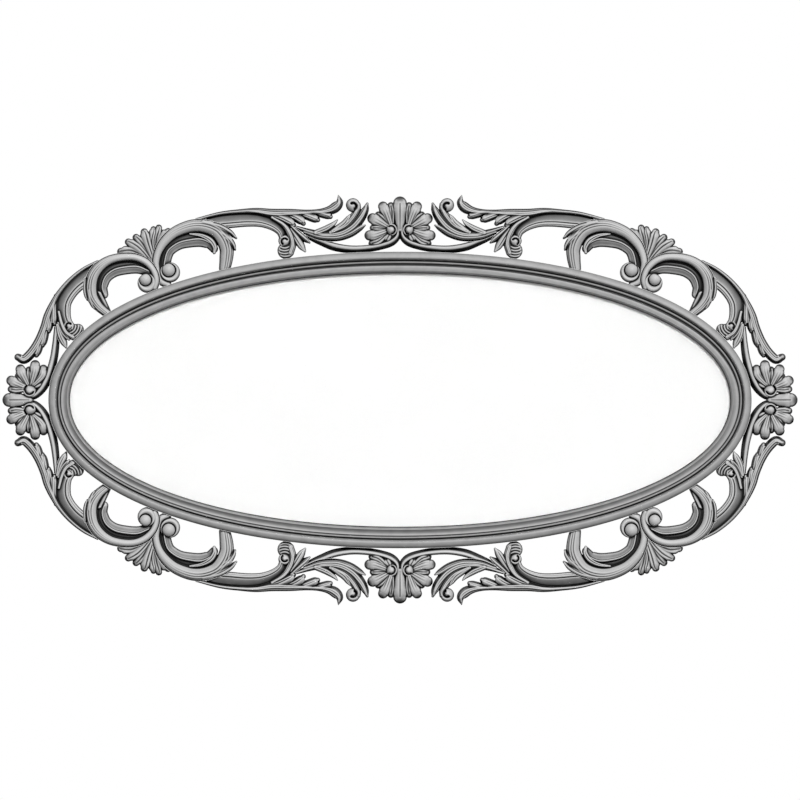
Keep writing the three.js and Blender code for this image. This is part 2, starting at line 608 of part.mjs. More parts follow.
// Moulding: the profile runs from the back of the outer side over the bead, fillet, cove
// and lip to the sight edge, then round the rebate.
const COVE_START = BEAD_WIDTH + FILLET_WIDTH;
const LIP_START = MOULDING_WIDTH - LIP_WIDTH;
const COVE_MIDDLE = (COVE_START + LIP_START) / 2;
const QUIRK_DEPTH = 1.8;
const PROFILE = [
  [0, 0], [0, SIDE_HEIGHT], [0.17 * BEAD_WIDTH, CROWN_HEIGHT - 2], [0.46 * BEAD_WIDTH, CROWN_HEIGHT],
  [0.8 * BEAD_WIDTH, CROWN_HEIGHT - 3], [BEAD_WIDTH, FILLET_HEIGHT - QUIRK_DEPTH],
  [BEAD_WIDTH + 1, FILLET_HEIGHT], [COVE_START, FILLET_HEIGHT], [COVE_START + 0.6, COVE_HEIGHT + 1.8],
  [COVE_MIDDLE, COVE_HEIGHT], [LIP_START - 2, LIP_HEIGHT - 3], [LIP_START, LIP_HEIGHT],
  [LIP_START + 0.45 * LIP_WIDTH, LIP_HEIGHT], [MOULDING_WIDTH, SIGHT_HEIGHT],
  [MOULDING_WIDTH, REBATE_DEPTH], [BACK_WIDTH, REBATE_DEPTH], [BACK_WIDTH, 0],
].map(([inward, height]) => new THREE.Vector2(inward, height));

// The end rings draw back along the joint so that a clearance stays between segments.
function mouldingSegment(angles) {
  const rings = angles.map((angle, i) => PROFILE.map(({ x: inward, y: height }) => {
    const { x, z, normal } = ovalPoint(angle, MOULDING_WIDTH - inward);
    const draw = i === 0 ? GAP / 2 : i === angles.length - 1 ? -GAP / 2 : 0;
    return raise(new THREE.Vector2(x + normal.y * draw, z - normal.x * draw), height);
  }));
  return loft(rings, PROFILE);
}

// A place on the moulding's back, with the turn that points a fixing inward.
function backPlace(angle, out = BACK_MIDDLE) {
  const { x, z, normal } = ovalPoint(angle, out);
  return { point: new THREE.Vector2(x, z), inward: Math.atan2(-normal.y, -normal.x), normal };
}

function placedOutline(outline, point, turn) {
  return outline.map((corner) => corner.clone().rotateAround(new THREE.Vector2(), turn).add(point));
}

// Double dovetail key across a joint, long way along the moulding
function keyOutline(clearance) {
  const long = KEY_LENGTH / 2 + clearance;
  const wide = KEY_WIDTH / 2 + clearance;
  const waist = KEY_WAIST / 2 + clearance;
  return [[-long, -wide], [0, -waist], [long, -wide], [long, wide], [0, waist], [-long, wide]]
    .map(([x, y]) => new THREE.Vector2(x, y));
}

const keyAngles = [JOINT_ANGLE, 180 - JOINT_ANGLE, 180 + JOINT_ANGLE, -JOINT_ANGLE];

function keyPlate(angle, clearance) {
  const { point, inward } = backPlace(angle);
  const outline = placedOutline(keyOutline(clearance), point, inward + Math.PI / 2);
  return plate(outline, -clearance, KEY_DEPTH + clearance);
}

const keyRooms = unite(keyAngles.map((angle) => keyPlate(angle, GAP)));

const strapScrewDrop = STRAP_LENGTH - STRAP_WIDTH / 2;
const hangerRise = (STRAP_LENGTH - RING_WIRE / 2) / 2;
const hangers = [HANGER_ANGLE, -HANGER_ANGLE].map((angle) => backPlace(angle).point);
const buttons = BUTTON_ANGLES.map((angle) => backPlace(angle, REBATE_WIDTH + BUTTON_WIDTH / 2 + 4));
const screwPoints = [
  ...buttons.map(({ point }) => point),
  ...hangers.map((point) => new THREE.Vector2(point.x, point.y + hangerRise - strapScrewDrop)),
];
const pilotRooms = unite(screwPoints.map((point) => (
  plate(circle(point, PILOT_RADIUS, SCREW_SIDES), -RELIEF, SCREW_LENGTH)
)));
const keyedMoulding = (angles) => mainBody(mouldingSegment(angles).subtract(keyRooms).subtract(pilotRooms));

// Fixings, each modelled about its own axis with the wood's back at y = 0 and +Y to the wall

// A solid with an outline in the XZ plane between two distances behind the wood.
function behindWood(outline, near, far) {
  const rings = [near, far].map((y) => outline.map((point) => [point.x, y, point.y]));
  return loft(rings, outline);
}

// Slotted plate with round ends: the screw's hole is near one end, the other reaches in.
function roundEnded(length, width, offset) {
  const radius = width / 2;
  const arc = (centre, start) => series(END_STEPS + 1).map((i) => {
    const angle = start + (Math.PI * i) / END_STEPS;
    return new THREE.Vector2(centre + radius * Math.cos(angle), radius * Math.sin(angle));
  });
  return [...arc(length - radius - offset, -Math.PI / 2), ...arc(radius - offset, Math.PI / 2)];
}

function turnButton() {
  const outline = roundEnded(BUTTON_LENGTH, BUTTON_WIDTH, BUTTON_WIDTH / 2);
  const hole = circle(new THREE.Vector2(), PILOT_RADIUS, SCREW_SIDES);
  const far = GAP + BUTTON_THICKNESS;
  return behindWood(outline, GAP, far).subtract(behindWood(hole, -1, far + 1));
}

// Screw with a domed head that bears on a fixing of the given thickness
function screw(thickness) {
  const seat = 2 * GAP + thickness;
  const levels = [
    [SCREW_SHANK / 2, 2 * GAP - SCREW_LENGTH], [SCREW_SHANK / 2, seat],
    [SCREW_HEAD / 2, seat], [SCREW_HEAD / 3, seat + SCREW_HEAD_HEIGHT],
  ];
  const centre = new THREE.Vector2();
  const round = (radius) => circle(centre, radius, SCREW_SIDES);
  return loft(levels.map(([radius, y]) => round(radius).map((point) => [point.x, y, point.y])), round(1));
}

// Strap of the hanger: a plate with an eye round the ring's bar, which lies on the x axis
const EYE_INNER = RING_WIRE / 2 + GAP;
const EYE_OUTER = EYE_INNER + EYE_WALL;

function barRoom(radius, length) {
  const side = circle(new THREE.Vector2(), radius, BAR_SIDES);
  const rings = [-length / 2, length / 2].map((x) => side.map((point) => [x, point.x, point.y]));
  return loft(rings, side);
}

function strapPlate() {
  const near = -EYE_OUTER;
  const radius = STRAP_WIDTH / 2;
  const arc = series(7).map((i) => {
    const angle = Math.PI + (Math.PI * i) / 6;
    return new THREE.Vector2(radius * Math.cos(angle), radius * Math.sin(angle) - strapScrewDrop);
  });
  const outline = [...arc, new THREE.Vector2(radius, 0), new THREE.Vector2(-radius, 0)];
  const hole = circle(new THREE.Vector2(0, -strapScrewDrop), PILOT_RADIUS, SCREW_SIDES);
  const blank = behindWood(outline, near, near + STRAP_THICKNESS);
  return blank.add(barRoom(EYE_OUTER, STRAP_WIDTH)).subtract(barRoom(EYE_INNER, 2 * STRAP_WIDTH))
    .subtract(behindWood(hole, near - 1, near + STRAP_THICKNESS + 1));
}

// D-shaped ring: round wire along a straight bar on the x axis and a bow below it
function hangerRing() {
  const bow = series(RING_STEPS + 1).map((i) => {
    const angle = -(Math.PI * i) / RING_STEPS;
    return new THREE.Vector2(RING_RADIUS * Math.cos(angle), RING_RADIUS * Math.sin(angle));
  });
  const section = circle(new THREE.Vector2(), RING_WIRE / 2, 6);
  const points = bow.flatMap((point, i) => {
    const before = point.clone().sub(bow.at(i - 1)).normalize();
    const after = bow[(i + 1) % bow.length].clone().sub(point).normalize();
    const along = before.clone().add(after).normalize();
    const mitre = 1 / along.dot(after);
    return section.map(({ x, y }) => [point.x + along.y * x * mitre, y, point.y - along.x * x * mitre]);
  });
  const sides = section.length;
  const triangles = series(points.length).flatMap((a) => {
    const b = a % sides === sides - 1 ? a + 1 - sides : a + 1;
    const [c, d] = [b, a].map((corner) => (corner + sides) % points.length);
    return [a, b, c, a, c, d];
  });
  return solidFrom(points.flat(), triangles);
}

// Assembly

const frame = new THREE.Group();
frame.name = 'carved_picture_frame';

function addMesh(parent, name, geometry, material) {
  const mesh = new THREE.Mesh(geometry, material);
  mesh.name = name;
  parent.add(mesh);
  return mesh;
}

const moulding = new THREE.Group();
frame.add(moulding);
const segments = {
  moulding_top: topAngles, moulding_right: rightAngles,
  moulding_bottom: opposite(topAngles), moulding_left: opposite(rightAngles),
};
for (const [name, angles] of Object.entries(segments)) {
  addMesh(moulding, name, geometryOf(keyedMoulding(angles)), carvedWood);
}
for (const [i, angle] of keyAngles.entries()) {
  addMesh(moulding, `joint_key_${i + 1}`, geometryOf(keyPlate(angle, 0)), rearWood);
}

const carving = new THREE.Group();
frame.add(carving);
const QUARTERS = { upper_right: [1, 1], lower_right: [1, -1], lower_left: [-1, -1], upper_left: [-1, 1] };
for (const [piece, solid] of Object.entries(QUARTER_PIECES)) {
  const geometry = geometryOf(solid);
  for (const [place, [signX, signZ]] of Object.entries(QUARTERS)) {
    addMesh(carving, `${piece}_${place}`, mirrored(geometry, signX, signZ), carvedWood);
  }
}
const shells = {
  shell_top: [topShell, 1, 1], shell_bottom: [topShell, 1, -1],
  shell_right: [sideShell, 1, 1], shell_left: [sideShell, -1, 1],
};
for (const [name, [solid, signX, signZ]] of Object.entries(shells)) {
  addMesh(carving, name, mirrored(geometryOf(solid), signX, signZ), carvedWood);
}

const picture = new THREE.Group();
frame.add(picture);
const packageOutline = ovalOutline(REBATE_WIDTH - PACKAGE_PLAY);
const glazingTop = REBATE_DEPTH - GAP;
const pictureTop = glazingTop - GLAZING_THICKNESS - GAP;
const backingTop = pictureTop - PICTURE_THICKNESS - GAP;
const layer = (top, thickness) => geometryOf(plate(packageOutline, top - thickness, top));
addMesh(picture, 'glazing', layer(glazingTop, GLAZING_THICKNESS), glass);
addMesh(picture, 'blank_picture', layer(pictureTop, PICTURE_THICKNESS), paper);
addMesh(picture, 'backing_board', layer(backingTop, BACKING_THICKNESS), board);

const fixings = new THREE.Group();
fixings.position.y = -STAND_OFF;
frame.add(fixings);
for (const [i, { point, inward }] of buttons.entries()) {
  const pivot = new THREE.Group();
  pivot.position.set(point.x, 0, point.y);
  pivot.rotation.y = -inward;
  fixings.add(pivot);
  addMesh(pivot, `turn_button_${i + 1}`, geometryOf(turnButton()), brass);
  addMesh(pivot, `turn_button_screw_${i + 1}`, geometryOf(screw(BUTTON_THICKNESS)), steel);
}
for (const [i, point] of hangers.entries()) {
  const side = ['right', 'left'][i];
  const eye = new THREE.Group();
  eye.position.set(point.x, GAP + EYE_OUTER, point.y + hangerRise);
  fixings.add(eye);
  addMesh(eye, `hanger_strap_${side}`, geometryOf(strapPlate()), steel);
  addMesh(eye, `hanger_ring_${side}`, geometryOf(hangerRing()), steel);
  const fastening = addMesh(fixings, `hanger_screw_${side}`, geometryOf(screw(STRAP_THICKNESS)), steel);
  fastening.position.set(point.x, 0, point.y + hangerRise - strapScrewDrop);
}
for (const [i, angle] of [BUMPER_ANGLE, -BUMPER_ANGLE].entries()) {
  const { point } = backPlace(angle);
  const side = ['right', 'left'][i];
  const disc = behindWood(circle(new THREE.Vector2(), BUMPER_DIAMETER / 2, BUMPER_SIDES), GAP, STAND_OFF);
  addMesh(fixings, `bumper_${side}`, geometryOf(disc), rubber).position.set(point.x, 0, point.y);
}

export default frame;
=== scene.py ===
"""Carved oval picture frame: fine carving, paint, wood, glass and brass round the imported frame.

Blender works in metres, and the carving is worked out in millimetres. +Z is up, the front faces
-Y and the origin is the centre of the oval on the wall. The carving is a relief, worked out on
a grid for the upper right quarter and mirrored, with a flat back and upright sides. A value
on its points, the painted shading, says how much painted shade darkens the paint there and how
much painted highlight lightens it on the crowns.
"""

import math

import bmesh
import bpy
import numpy as np
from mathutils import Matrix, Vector


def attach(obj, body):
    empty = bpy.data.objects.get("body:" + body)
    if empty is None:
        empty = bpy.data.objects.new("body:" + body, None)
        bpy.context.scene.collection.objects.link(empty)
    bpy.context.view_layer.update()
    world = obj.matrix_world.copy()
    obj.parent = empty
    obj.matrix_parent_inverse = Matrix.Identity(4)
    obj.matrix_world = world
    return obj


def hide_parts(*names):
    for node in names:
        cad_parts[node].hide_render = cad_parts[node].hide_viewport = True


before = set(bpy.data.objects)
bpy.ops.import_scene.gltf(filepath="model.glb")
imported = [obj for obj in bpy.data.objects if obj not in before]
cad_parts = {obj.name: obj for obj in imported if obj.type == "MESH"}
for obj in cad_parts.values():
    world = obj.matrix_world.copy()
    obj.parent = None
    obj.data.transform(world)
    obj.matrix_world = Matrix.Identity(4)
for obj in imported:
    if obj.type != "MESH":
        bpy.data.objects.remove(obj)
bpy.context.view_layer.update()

MM = 0.001

# Oval and moulding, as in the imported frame
SIGHT_HALF_WIDTH = 495.0
SIGHT_HALF_HEIGHT = 190.0
OVAL_FULLNESS = 2.06
MOULDING_WIDTH = 32.4
REBATE_WIDTH = 7.0
REBATE_DEPTH = 7.0
JOINT_ANGLE = 45
STAND_OFF = 5.5

# The gap at each mitre of the moulding, and how far the joint keys stand out of its back
SEAM = 0.02
BACK_PROUD = 0.1

# Carving: the band outside the moulding, the full height, and the gap between pieces
BAND = 85.0
RELIEF = 22.0
GAP = 0.3

# Grid of the relief, points on a strap's middle line, the margin round a part, how far a
# part's height reaches past its outline, and the least height of a relief
PITCH = 0.65
SAMPLES = 140
MARGIN = 2
COVER = 0.7 * PITCH
LEAST_HEIGHT = 1.5

# Rounded edge: its width, its greatest share of the half width, its height share at the outline
EDGE = 3.2
EDGE_SHARE = 0.8
EDGE_FOOT = 0.2

# How high the crease between two parts is filled, and the same beside a free strap
MELT = 0.5
FREE_MELT = 4.5

# Places on the oval


def power(value, exponent):
    """A power of the value's size, with its sign."""
    return np.sign(value) * np.abs(value) ** exponent


def oval_point(degrees, out):
    """A point at a distance outside the sight edge, and the outward direction there."""
    t = np.radians(np.asarray(degrees, float))
    x = SIGHT_HALF_WIDTH * power(np.sin(t), 2 / OVAL_FULLNESS)
    z = SIGHT_HALF_HEIGHT * power(np.cos(t), 2 / OVAL_FULLNESS)
    nx = power(x / SIGHT_HALF_WIDTH, OVAL_FULLNESS - 1) / SIGHT_HALF_WIDTH
    nz = power(z / SIGHT_HALF_HEIGHT, OVAL_FULLNESS - 1) / SIGHT_HALF_HEIGHT
    size = np.hypot(nx, nz)
    normal = np.stack([nx / size, nz / size], -1)
    return np.stack([x, z], -1) + normal * out, normal


def share(percent):
    """A percentage of the band, in millimetres."""
    return percent * BAND / 100


def band_point(degrees, percent):
    """A point of the band, by degrees from the top centre and percent out from the moulding."""
    return oval_point(degrees, MOULDING_WIDTH + share(percent))[0]


def smooth_line(rows, count):
    """Evenly many places on a smooth line through the rows."""
    rows = np.asarray(rows, float)
    ends = np.vstack([2 * rows[0] - rows[1], rows, 2 * rows[-1] - rows[-2]])
    place = np.linspace(0, len(rows) - 1, count)
    i = np.minimum(place.astype(int), len(rows) - 2)
    f = (place - i)[:, None]
    p0, p1, p2, p3 = (ends[i + k] for k in range(4))
    return 0.5 * (
        2 * p1 + (p2 - p0) * f + (2 * p0 - 5 * p1 + 4 * p2 - p3) * f**2
        + (3 * p1 - p0 - 3 * p2 + p3) * f**3
    )


def nearest(line, x, z):
    """Where each point lies by a line: place along it from 0 to 1, and distance to its left."""
    start, step = line[:-1, :2], np.diff(line[:, :2], axis=0)
    length = np.maximum((step**2).sum(1), 1e-9)
    best = np.full(x.shape, np.inf)
    place, side = np.zeros(x.shape), np.zeros(x.shape)
    for k in range(len(start)):
        dx, dz = x - start[k, 0], z - start[k, 1]
        t = np.clip((dx * step[k, 0] + dz * step[k, 1]) / length[k], 0, 1)
        far = (dx - t * step[k, 0]) ** 2 + (dz - t * step[k, 1]) ** 2
        closer = far < best
        best = np.where(closer, far, best)
        place = np.where(closer, (k + t) / len(start), place)
        side = np.where(closer, step[k, 0] * dz - step[k, 1] * dx, side)
    return place, np.where(side < 0, -1, 1) * np.sqrt(best)


# Faces: the share of the crest height at s, u and k. s runs across a strap from -1 at its right
# edge to 1 at its left edge, looking along it. u runs along it from 0 to 1. k is 0 on the
# outline and 1 on the middle line.


def hump(s, place, width):
    """A smooth ridge of height 1 at a place."""
    return np.exp(-(((s - place) / width) ** 2))


def lines(s, places, width):
    """The same ridge at several places."""
    return sum(hump(s, place, width) for place in places)


def dome(t):
    """A quarter circle, from 0 at t = 0 to 1 at t = 1."""
    return np.sqrt(np.clip(1 - (1 - t) ** 2, 0, 1))


def arch(s):
    """A half circle, from 0 at either edge to 1 in the middle."""
    return np.sqrt(np.clip(1 - s**2, 0, 1))


def quarter_round(t, foot):
    """A rounded edge that starts on an upright foot."""
    return foot + (1 - foot) * dome(np.clip(t, 0, 1))


def rolled(s, plain):
    """A round roll, with three grooves from its middle to its right edge where it isn't plain."""
    return 0.3 + 0.7 * arch(0.97 * s) - 0.06 * (1 - plain) * lines(s, (-0.7, -0.36, 0), 0.085)


def outer_roll_face(s, u, k):
    """Grooved near its root and plain from there on."""
    return rolled(s, np.clip((u - 0.3) / 0.25, 0, 1))


def inner_roll_face(s, u, k):
    """Plain at first and grooved past its middle."""
    return rolled(s, np.clip((0.62 - u) / 0.25, 0, 1))


def flank_face(s, u, k):
    """The side under a roll: a slope up from its right edge to a step with a ridge along it."""
    ledge = np.interp(s, [-1, -0.85, -0.3, -0.14, 0.05, 0.25, 1], [0.3, 0.34, 0.5, 0.6, 0.84, 0.82, 0.6])
    return ledge + 0.2 * hump(s, -0.01, 0.09) - 0.1 * hump(s, -0.2, 0.07)


def crest_face(s, u, k):
    """A leaf's body with three grooves."""
    return 0.55 + 0.45 * (1 - s**2) - 0.075 * lines(s, (-0.5, -0.05, 0.4), 0.11)


def lobe_face(s, u, k):
    """A leaf's lobe with a groove along its middle."""
    return 0.8 + 0.2 * (1 - s**2) - 0.12 * hump(s, 0, 0.16)


def channel_face(s, u, k):
    """An arm: a hollow that rises to a grooved band along its left side."""
    places = [-1, -0.85, -0.5, -0.1, 0.2, 0.45, 0.62, 0.85, 1]
    heights = [0.32, 0.5, 0.62, 0.76, 0.86, 1, 1, 0.86, 0.45]
    return np.interp(s, places, heights) - 0.1 * lines(s, (0.26, 0.66), 0.06)


def turned(face):
    """The face with its left and right sides changed over."""
    return lambda s, u, k: face(-s, u, k)


def stem_face(s, u, k):
    """A band with a flat top that falls away steeply to its right."""
    return np.interp(s, [-1, -0.75, -0.15, 0.05, 0.45, 1], [0.08, 0.22, 0.8, 0.95, 1, 0.8])


def spoon_face(s, u, k):
    """A bulging flute with two fine grooves towards its root."""
    return 0.5 + 0.5 * dome(k) - 0.08 * (1 - u) - 0.07 * lines(s, (-0.42, 0.12), 0.12) * (1 - u)


def bulb_face(s, u, k):
    """The middle flute: a bulb with a groove along its axis."""
    return 0.5 + 0.52 * dome(k) - 0.14 * (1 - u) - 0.06 * hump(s, 0, 0.08)


def narrow_face(s, u, k):
    """A round flute with a groove along its middle."""
    return 0.55 + 0.4 * arch(s) - 0.1 * hump(s, 0, 0.16)


def fern_face(s, u, k):
    """A round leaf that is higher on its left, with a groove beside its middle."""
    return 0.62 + 0.34 * arch(s) + 0.1 * s - 0.1 * hump(s, 0.2, 0.14)


class Strap:
    """A carved strap: rows of degrees, percent out, percent half width, percent height.

    A free strap has a steep underside along its left edge (1) or its right edge (-1), up to its
    tip. Melt is how high the crease between the strap and the parts before it is filled.
    """

    LEAST_HALF = 0.4
    UNDERSIDE, UNDERSIDE_SHARE = 5.2, 1.1
    UNDERSIDE_FOOT, UNDERSIDE_CURVE = 0.15, 0.75
    TIP = 0.97
    free = 0
    melt = MELT

    def __init__(self, rows, face, free=0, melt=None):
        self.free = free
        self.melt = melt or (FREE_MELT if free else MELT)
        places = [
            (*band_point(degrees, out), share(half), height * RELIEF / 100)
            for degrees, out, half, height in rows
        ]
        self.line = smooth_line(places, SAMPLES)
        self.line[:, 2] = np.maximum(self.line[:, 2], self.LEAST_HALF)
        self.face = face

    def reach(self):
        half = self.line[:, 2:3]
        return (self.line[:, :2] - half).min(0), (self.line[:, :2] + half).max(0)

    def at(self, x, z):
        """How far inside the outline each point lies, and how high the relief is there."""
        place, side = nearest(self.line, x, z)
        track = np.linspace(0, 1, len(self.line))
        half = np.interp(place, track, self.line[:, 2])
        crest = np.interp(place, track, self.line[:, 3])
        inside = half - np.abs(side)
        s = np.clip(side / half, -1, 1)
        k = np.clip(inside / half, 0, 1)
        height = crest * self.face(s, place, k)
        if not self.free:
            edge = np.minimum(EDGE, EDGE_SHARE * half)
            return inside, height * quarter_round(inside / edge, EDGE_FOOT)
        room = np.where(place > self.TIP, inside, half - self.free * side)
        under = np.clip(room / np.minimum(self.UNDERSIDE, self.UNDERSIDE_SHARE * half), 0, 1)
        rise = (1 - self.UNDERSIDE_FOOT) * under**self.UNDERSIDE_CURVE
        return inside, height * (self.UNDERSIDE_FOOT + rise)


class Flute(Strap):
    """A flute or leaf of a fan, from its root through a middle point to a round tip."""

    TAPER = ([0, 0.3, 0.6, 0.85, 1], [0.55, 0.88, 1.08, 1.04, 0.9])
    ROOT_LEVEL, SWELL_SPAN = 0.84, 0.72
    TIP_FROM, TIP_FALL = 1.5, 0.93

    def __init__(self, root, middle, tip, half, height, face, taper=TAPER):
        back = (middle - tip) / np.linalg.norm(middle - tip)
        end = tip + back * half * taper[1][-1]
        spine = smooth_line([root, middle, end], SAMPLES // 2)
        u = np.linspace(0, 1, len(spine))
        widths = half * np.interp(u, *taper)
        swell = (1 - self.ROOT_LEVEL) * np.sin(np.pi * self.SWELL_SPAN * u)
        heights = height * (self.ROOT_LEVEL + swell)
        self.line = np.column_stack([spine, widths, heights])
        self.face = face
        self.end, self.outward = end, -back

    def at(self, x, z):
        """The tip rolls down over a good length of the flute."""
        inside, height = super().at(x, z)
        past = (x - self.end[0]) * self.outward[0] + (z - self.end[1]) * self.outward[1]
        t = np.clip(past / self.line[-1, 2] + self.TIP_FROM, 0, self.TIP_FROM + 1) / (self.TIP_FROM + 1)
        return inside, height * np.sqrt(1 - self.TIP_FALL * t**2)


def distance(point, x, z):
    """How far each place is from a point."""
    return np.hypot(x - point[0], z - point[1])


class Disc:
    """A round part: degrees, percent out, percent radius, percent height."""

    melt = MELT

    def __init__(self, degrees, out, radius, height):
        self.middle = band_point(degrees, out)
        self.radius = share(radius)
        self.height = height * RELIEF / 100

    def reach(self):
        return self.middle - self.radius, self.middle + self.radius

    def rounded(self, x, z, foot):
        """How far inside each point lies, and the height there of a dome on a foot."""
        inside = self.radius - distance(self.middle, x, z)
        return inside, self.height * quarter_round(inside / self.radius, foot)


class Eye(Disc):
    """A scroll's eye: a ball in a round ring, which is broad on the side that the ball leaves."""

    GROOVE, GROOVE_DEPTH, GROOVE_PLACE = 0.9, 5, 0.2
    LEAST_RING, RING_FLOOR, RING_SWELL = 0.6, 0.35, 0.9
    BALL_REACH = 1

    def __init__(self, disc, ball):
        super().__init__(*disc)
        self.ball = Disc(*ball)

    def at(self, x, z):
        ball = self.ball
        inside = self.radius - distance(self.middle, x, z)
        off = distance(ball.middle, x, z) - ball.radius
        t = np.clip(off / np.maximum(inside + off, self.LEAST_RING), 0, 1)
        floor = self.RING_FLOOR * self.height
        swell = np.sqrt(1 - self.RING_SWELL * (2 * t - 1) ** 2)
        groove = self.GROOVE_DEPTH * hump(off, self.GROOVE_PLACE, self.GROOVE)
        ring = floor + (self.height - floor) * swell - groove
        top = ball.height - ball.radius * (1 - arch(1 + np.minimum(off, 0) / ball.radius))
        return inside, np.where(
            off < 0, top * quarter_round((inside + self.BALL_REACH) / EDGE, EDGE_FOOT),
            ring * quarter_round(inside / EDGE, EDGE_FOOT),
        )


class Hook(Disc):
    """The curled end of a leaf or stem: a ball, with a groove wound round a point on it.

    The groove is given as degrees, percent out and percent radius, and it is open on the side
    away from where it faces.
    """

    FOOT, CUT = 0.3, 11
    WOUND, WOUND_EDGE = 0.9, 2

    def __init__(self, disc, groove, facing, width=1.3):
        super().__init__(*disc)
        degrees, out, radius = groove
        self.groove, self.groove_radius = band_point(degrees, out), share(radius)
        self.facing = math.radians(facing)
        self.width = width

    def at(self, x, z):
        return self.rounded(x, z, self.FOOT)

    def cut(self, x, z):
        """How deep the groove goes at a point."""
        turn = np.arctan2(z - self.groove[1], x - self.groove[0]) - self.facing
        wound = np.clip(self.WOUND + self.WOUND_EDGE * np.cos(turn), 0, 1)
        return self.CUT * wound * hump(distance(self.groove, x, z), self.groove_radius, self.width)


class Boss(Disc):
    """A boss with rings round a centre, given as degrees and percent out."""

    FOOT, CUT, RING, RING_RISE = 0.55, 2, 4.3, 0.3

    def __init__(self, disc, centre):
        super().__init__(*disc)
        self.centre = band_point(*centre)

    def at(self, x, z):
        inside, body = self.rounded(x, z, self.FOOT)
        wave = 0.5 + 0.5 * np.cos(2 * np.pi * distance(self.centre, x, z) / self.RING)
        rings = self.CUT * wave * np.clip(inside / self.radius / self.RING_RISE, 0, 1)
        return inside, (body - rings) * quarter_round(inside / EDGE, EDGE_FOOT)


def near_parts(parts, x, z):
    """Each part with a mask of the points near it, and the part's depth and height at them."""
    for part in parts:
        low, high = part.reach()
        near = (x > low[0] - MARGIN) & (x < high[0] + MARGIN)
        near &= (z > low[1] - MARGIN) & (z < high[1] + MARGIN)
        if near.any():
            yield part, near, *part.at(x[near], z[near])


def room_of(parts, x, z):
    """How far inside a group of parts each point lies."""
    inside = np.full(x.shape, -np.inf)
    for _, near, depth, _ in near_parts(parts, x, z):
        inside[near] = np.maximum(inside[near], depth)
    return inside


def melted(a, b, reach):
    """The higher of two reliefs, with the crease between them filled within a reach."""
    fill = np.maximum(reach - np.abs(a - b), 0) ** 2 / (4 * reach)
    return np.maximum(a, b) + np.where(np.minimum(a, b) > 0, fill, 0)


def relief_of(parts, x, z):
    """How far inside a group of parts each point lies, and the height of their joined relief."""
    inside, height = np.full(x.shape, -np.inf), np.zeros(x.shape)
    for part, near, depth, top in near_parts(parts, x, z):
        inside[near] = np.maximum(inside[near], depth)
        height[near] = melted(height[near], np.where(depth > -COVER, top, 0), part.melt)
    for part in parts:
        if isinstance(part, Hook):
            height = np.maximum(height - part.cut(x, z), 0)
    return inside, height


# The moulding's outer edge, past both ends of the upper right quarter
moulding_edge = oval_point(np.linspace(-15, 105, 480), MOULDING_WIDTH)[0]


def outside_moulding(x, z):
    return nearest(moulding_edge, x, z)[1]


# The motifs of the upper right quarter. Outer scroll: the roll and its two lobes, then the flank
# inside it, its root and the eye.

outer_roll = [
    Strap([[58.1, 1, 8.1, 62], [58.9, 20.1, 9.5, 68], [58.9, 39.5, 10.9, 72], [57.9, 56.2, 11.6, 76],
           [56.2, 70.1, 10.9, 80], [54, 78.2, 9.9, 82], [51.5, 80, 8.5, 82], [48.8, 74.7, 7.8, 82],
           [46.6, 65.4, 7.4, 80], [45, 51, 7.4, 78], [44.2, 33.1, 7, 76], [44.4, 16, 7.4, 74],
           [45.3, 5, 7.2, 72]], outer_roll_face),
    Strap([[58.1, 71.7, 2.8, 66], [59.2, 58.5, 4.2, 70], [59.9, 47.2, 4.2, 66], [60.3, 39, 2, 54]],
          lobe_face, -1),
    Strap([[58.7, 49.6, 4.6, 68], [59.5, 36.8, 5.4, 68], [59.9, 26.1, 4.4, 62], [60, 19, 2.2, 52]],
          lobe_face, -1),
]
outer_scroll = outer_roll + [
    Strap([[56.3, 31.5, 7.6, 58], [55.8, 45.3, 10.4, 60], [54.1, 57.8, 12.2, 62],
           [51.8, 61.8, 13.4, 62], [49.3, 57.6, 13.6, 62], [46.9, 49.6, 13, 60], [45.2, 36, 10.4, 56]],
          flank_face),
    Strap([[57.9, 0, 7, 36], [57.3, 36, 7, 42]], stem_face),
    Eye([46.4, 16.2, 17.2, 76], [46.5, 23.4, 10.4, 94]),
]

# Inner scroll: the roll and its two lobes, then the flank inside it, a tongue and the eye

inner_roll = [
    Strap([[42.4, 1, 7, 70], [43.5, 12, 7.4, 72], [43.6, 27, 8, 72], [43.2, 43.9, 7.6, 74],
           [42, 60.9, 8.1, 76], [40.2, 74.9, 9.5, 80], [37.8, 84.9, 10.4, 82], [34.9, 87.8, 11.5, 84],
           [32.6, 83, 12.2, 84], [30.6, 70.6, 12.9, 82], [29.6, 53.5, 13.4, 80], [29.3, 35.1, 12.8, 76],
           [29.7, 19.1, 12.2, 72], [30.4, 1.8, 10.4, 66]], inner_roll_face),
    Strap([[32.3, 88.1, 4.4, 76], [30, 76.1, 6.6, 80], [28.2, 61.6, 5.8, 76], [27.2, 49.5, 2, 64]],
          lobe_face, 1),
    Strap([[30.5, 71, 6, 74], [28.9, 53.6, 7.2, 76], [28.1, 39.8, 5.6, 72], [27.8, 30, 2, 60]],
          lobe_face, 1),
]
inner_scroll = inner_roll + [
    Strap([[41.9, 34, 11.4, 58], [40.7, 52, 12, 60], [39.6, 60.5, 12.2, 62], [37.6, 65.8, 12.9, 62],
           [35.4, 65.1, 14, 62], [33.5, 61.6, 14.4, 60], [32.1, 51.6, 12, 58], [31.6, 39.5, 7.6, 52]],
          flank_face),
    Strap([[35.2, 75.4, 2.6, 44], [33.3, 67.5, 4.8, 54], [31.9, 55.5, 6, 62], [31.4, 42.5, 5.4, 62],
           [31.7, 32.5, 2.8, 56]], lobe_face),
    Eye([41.1, 20.2, 18, 76], [41.2, 25, 11.6, 94]),
]

# Palmette: a fan of leaves, each by its root, middle, tip, half width and level

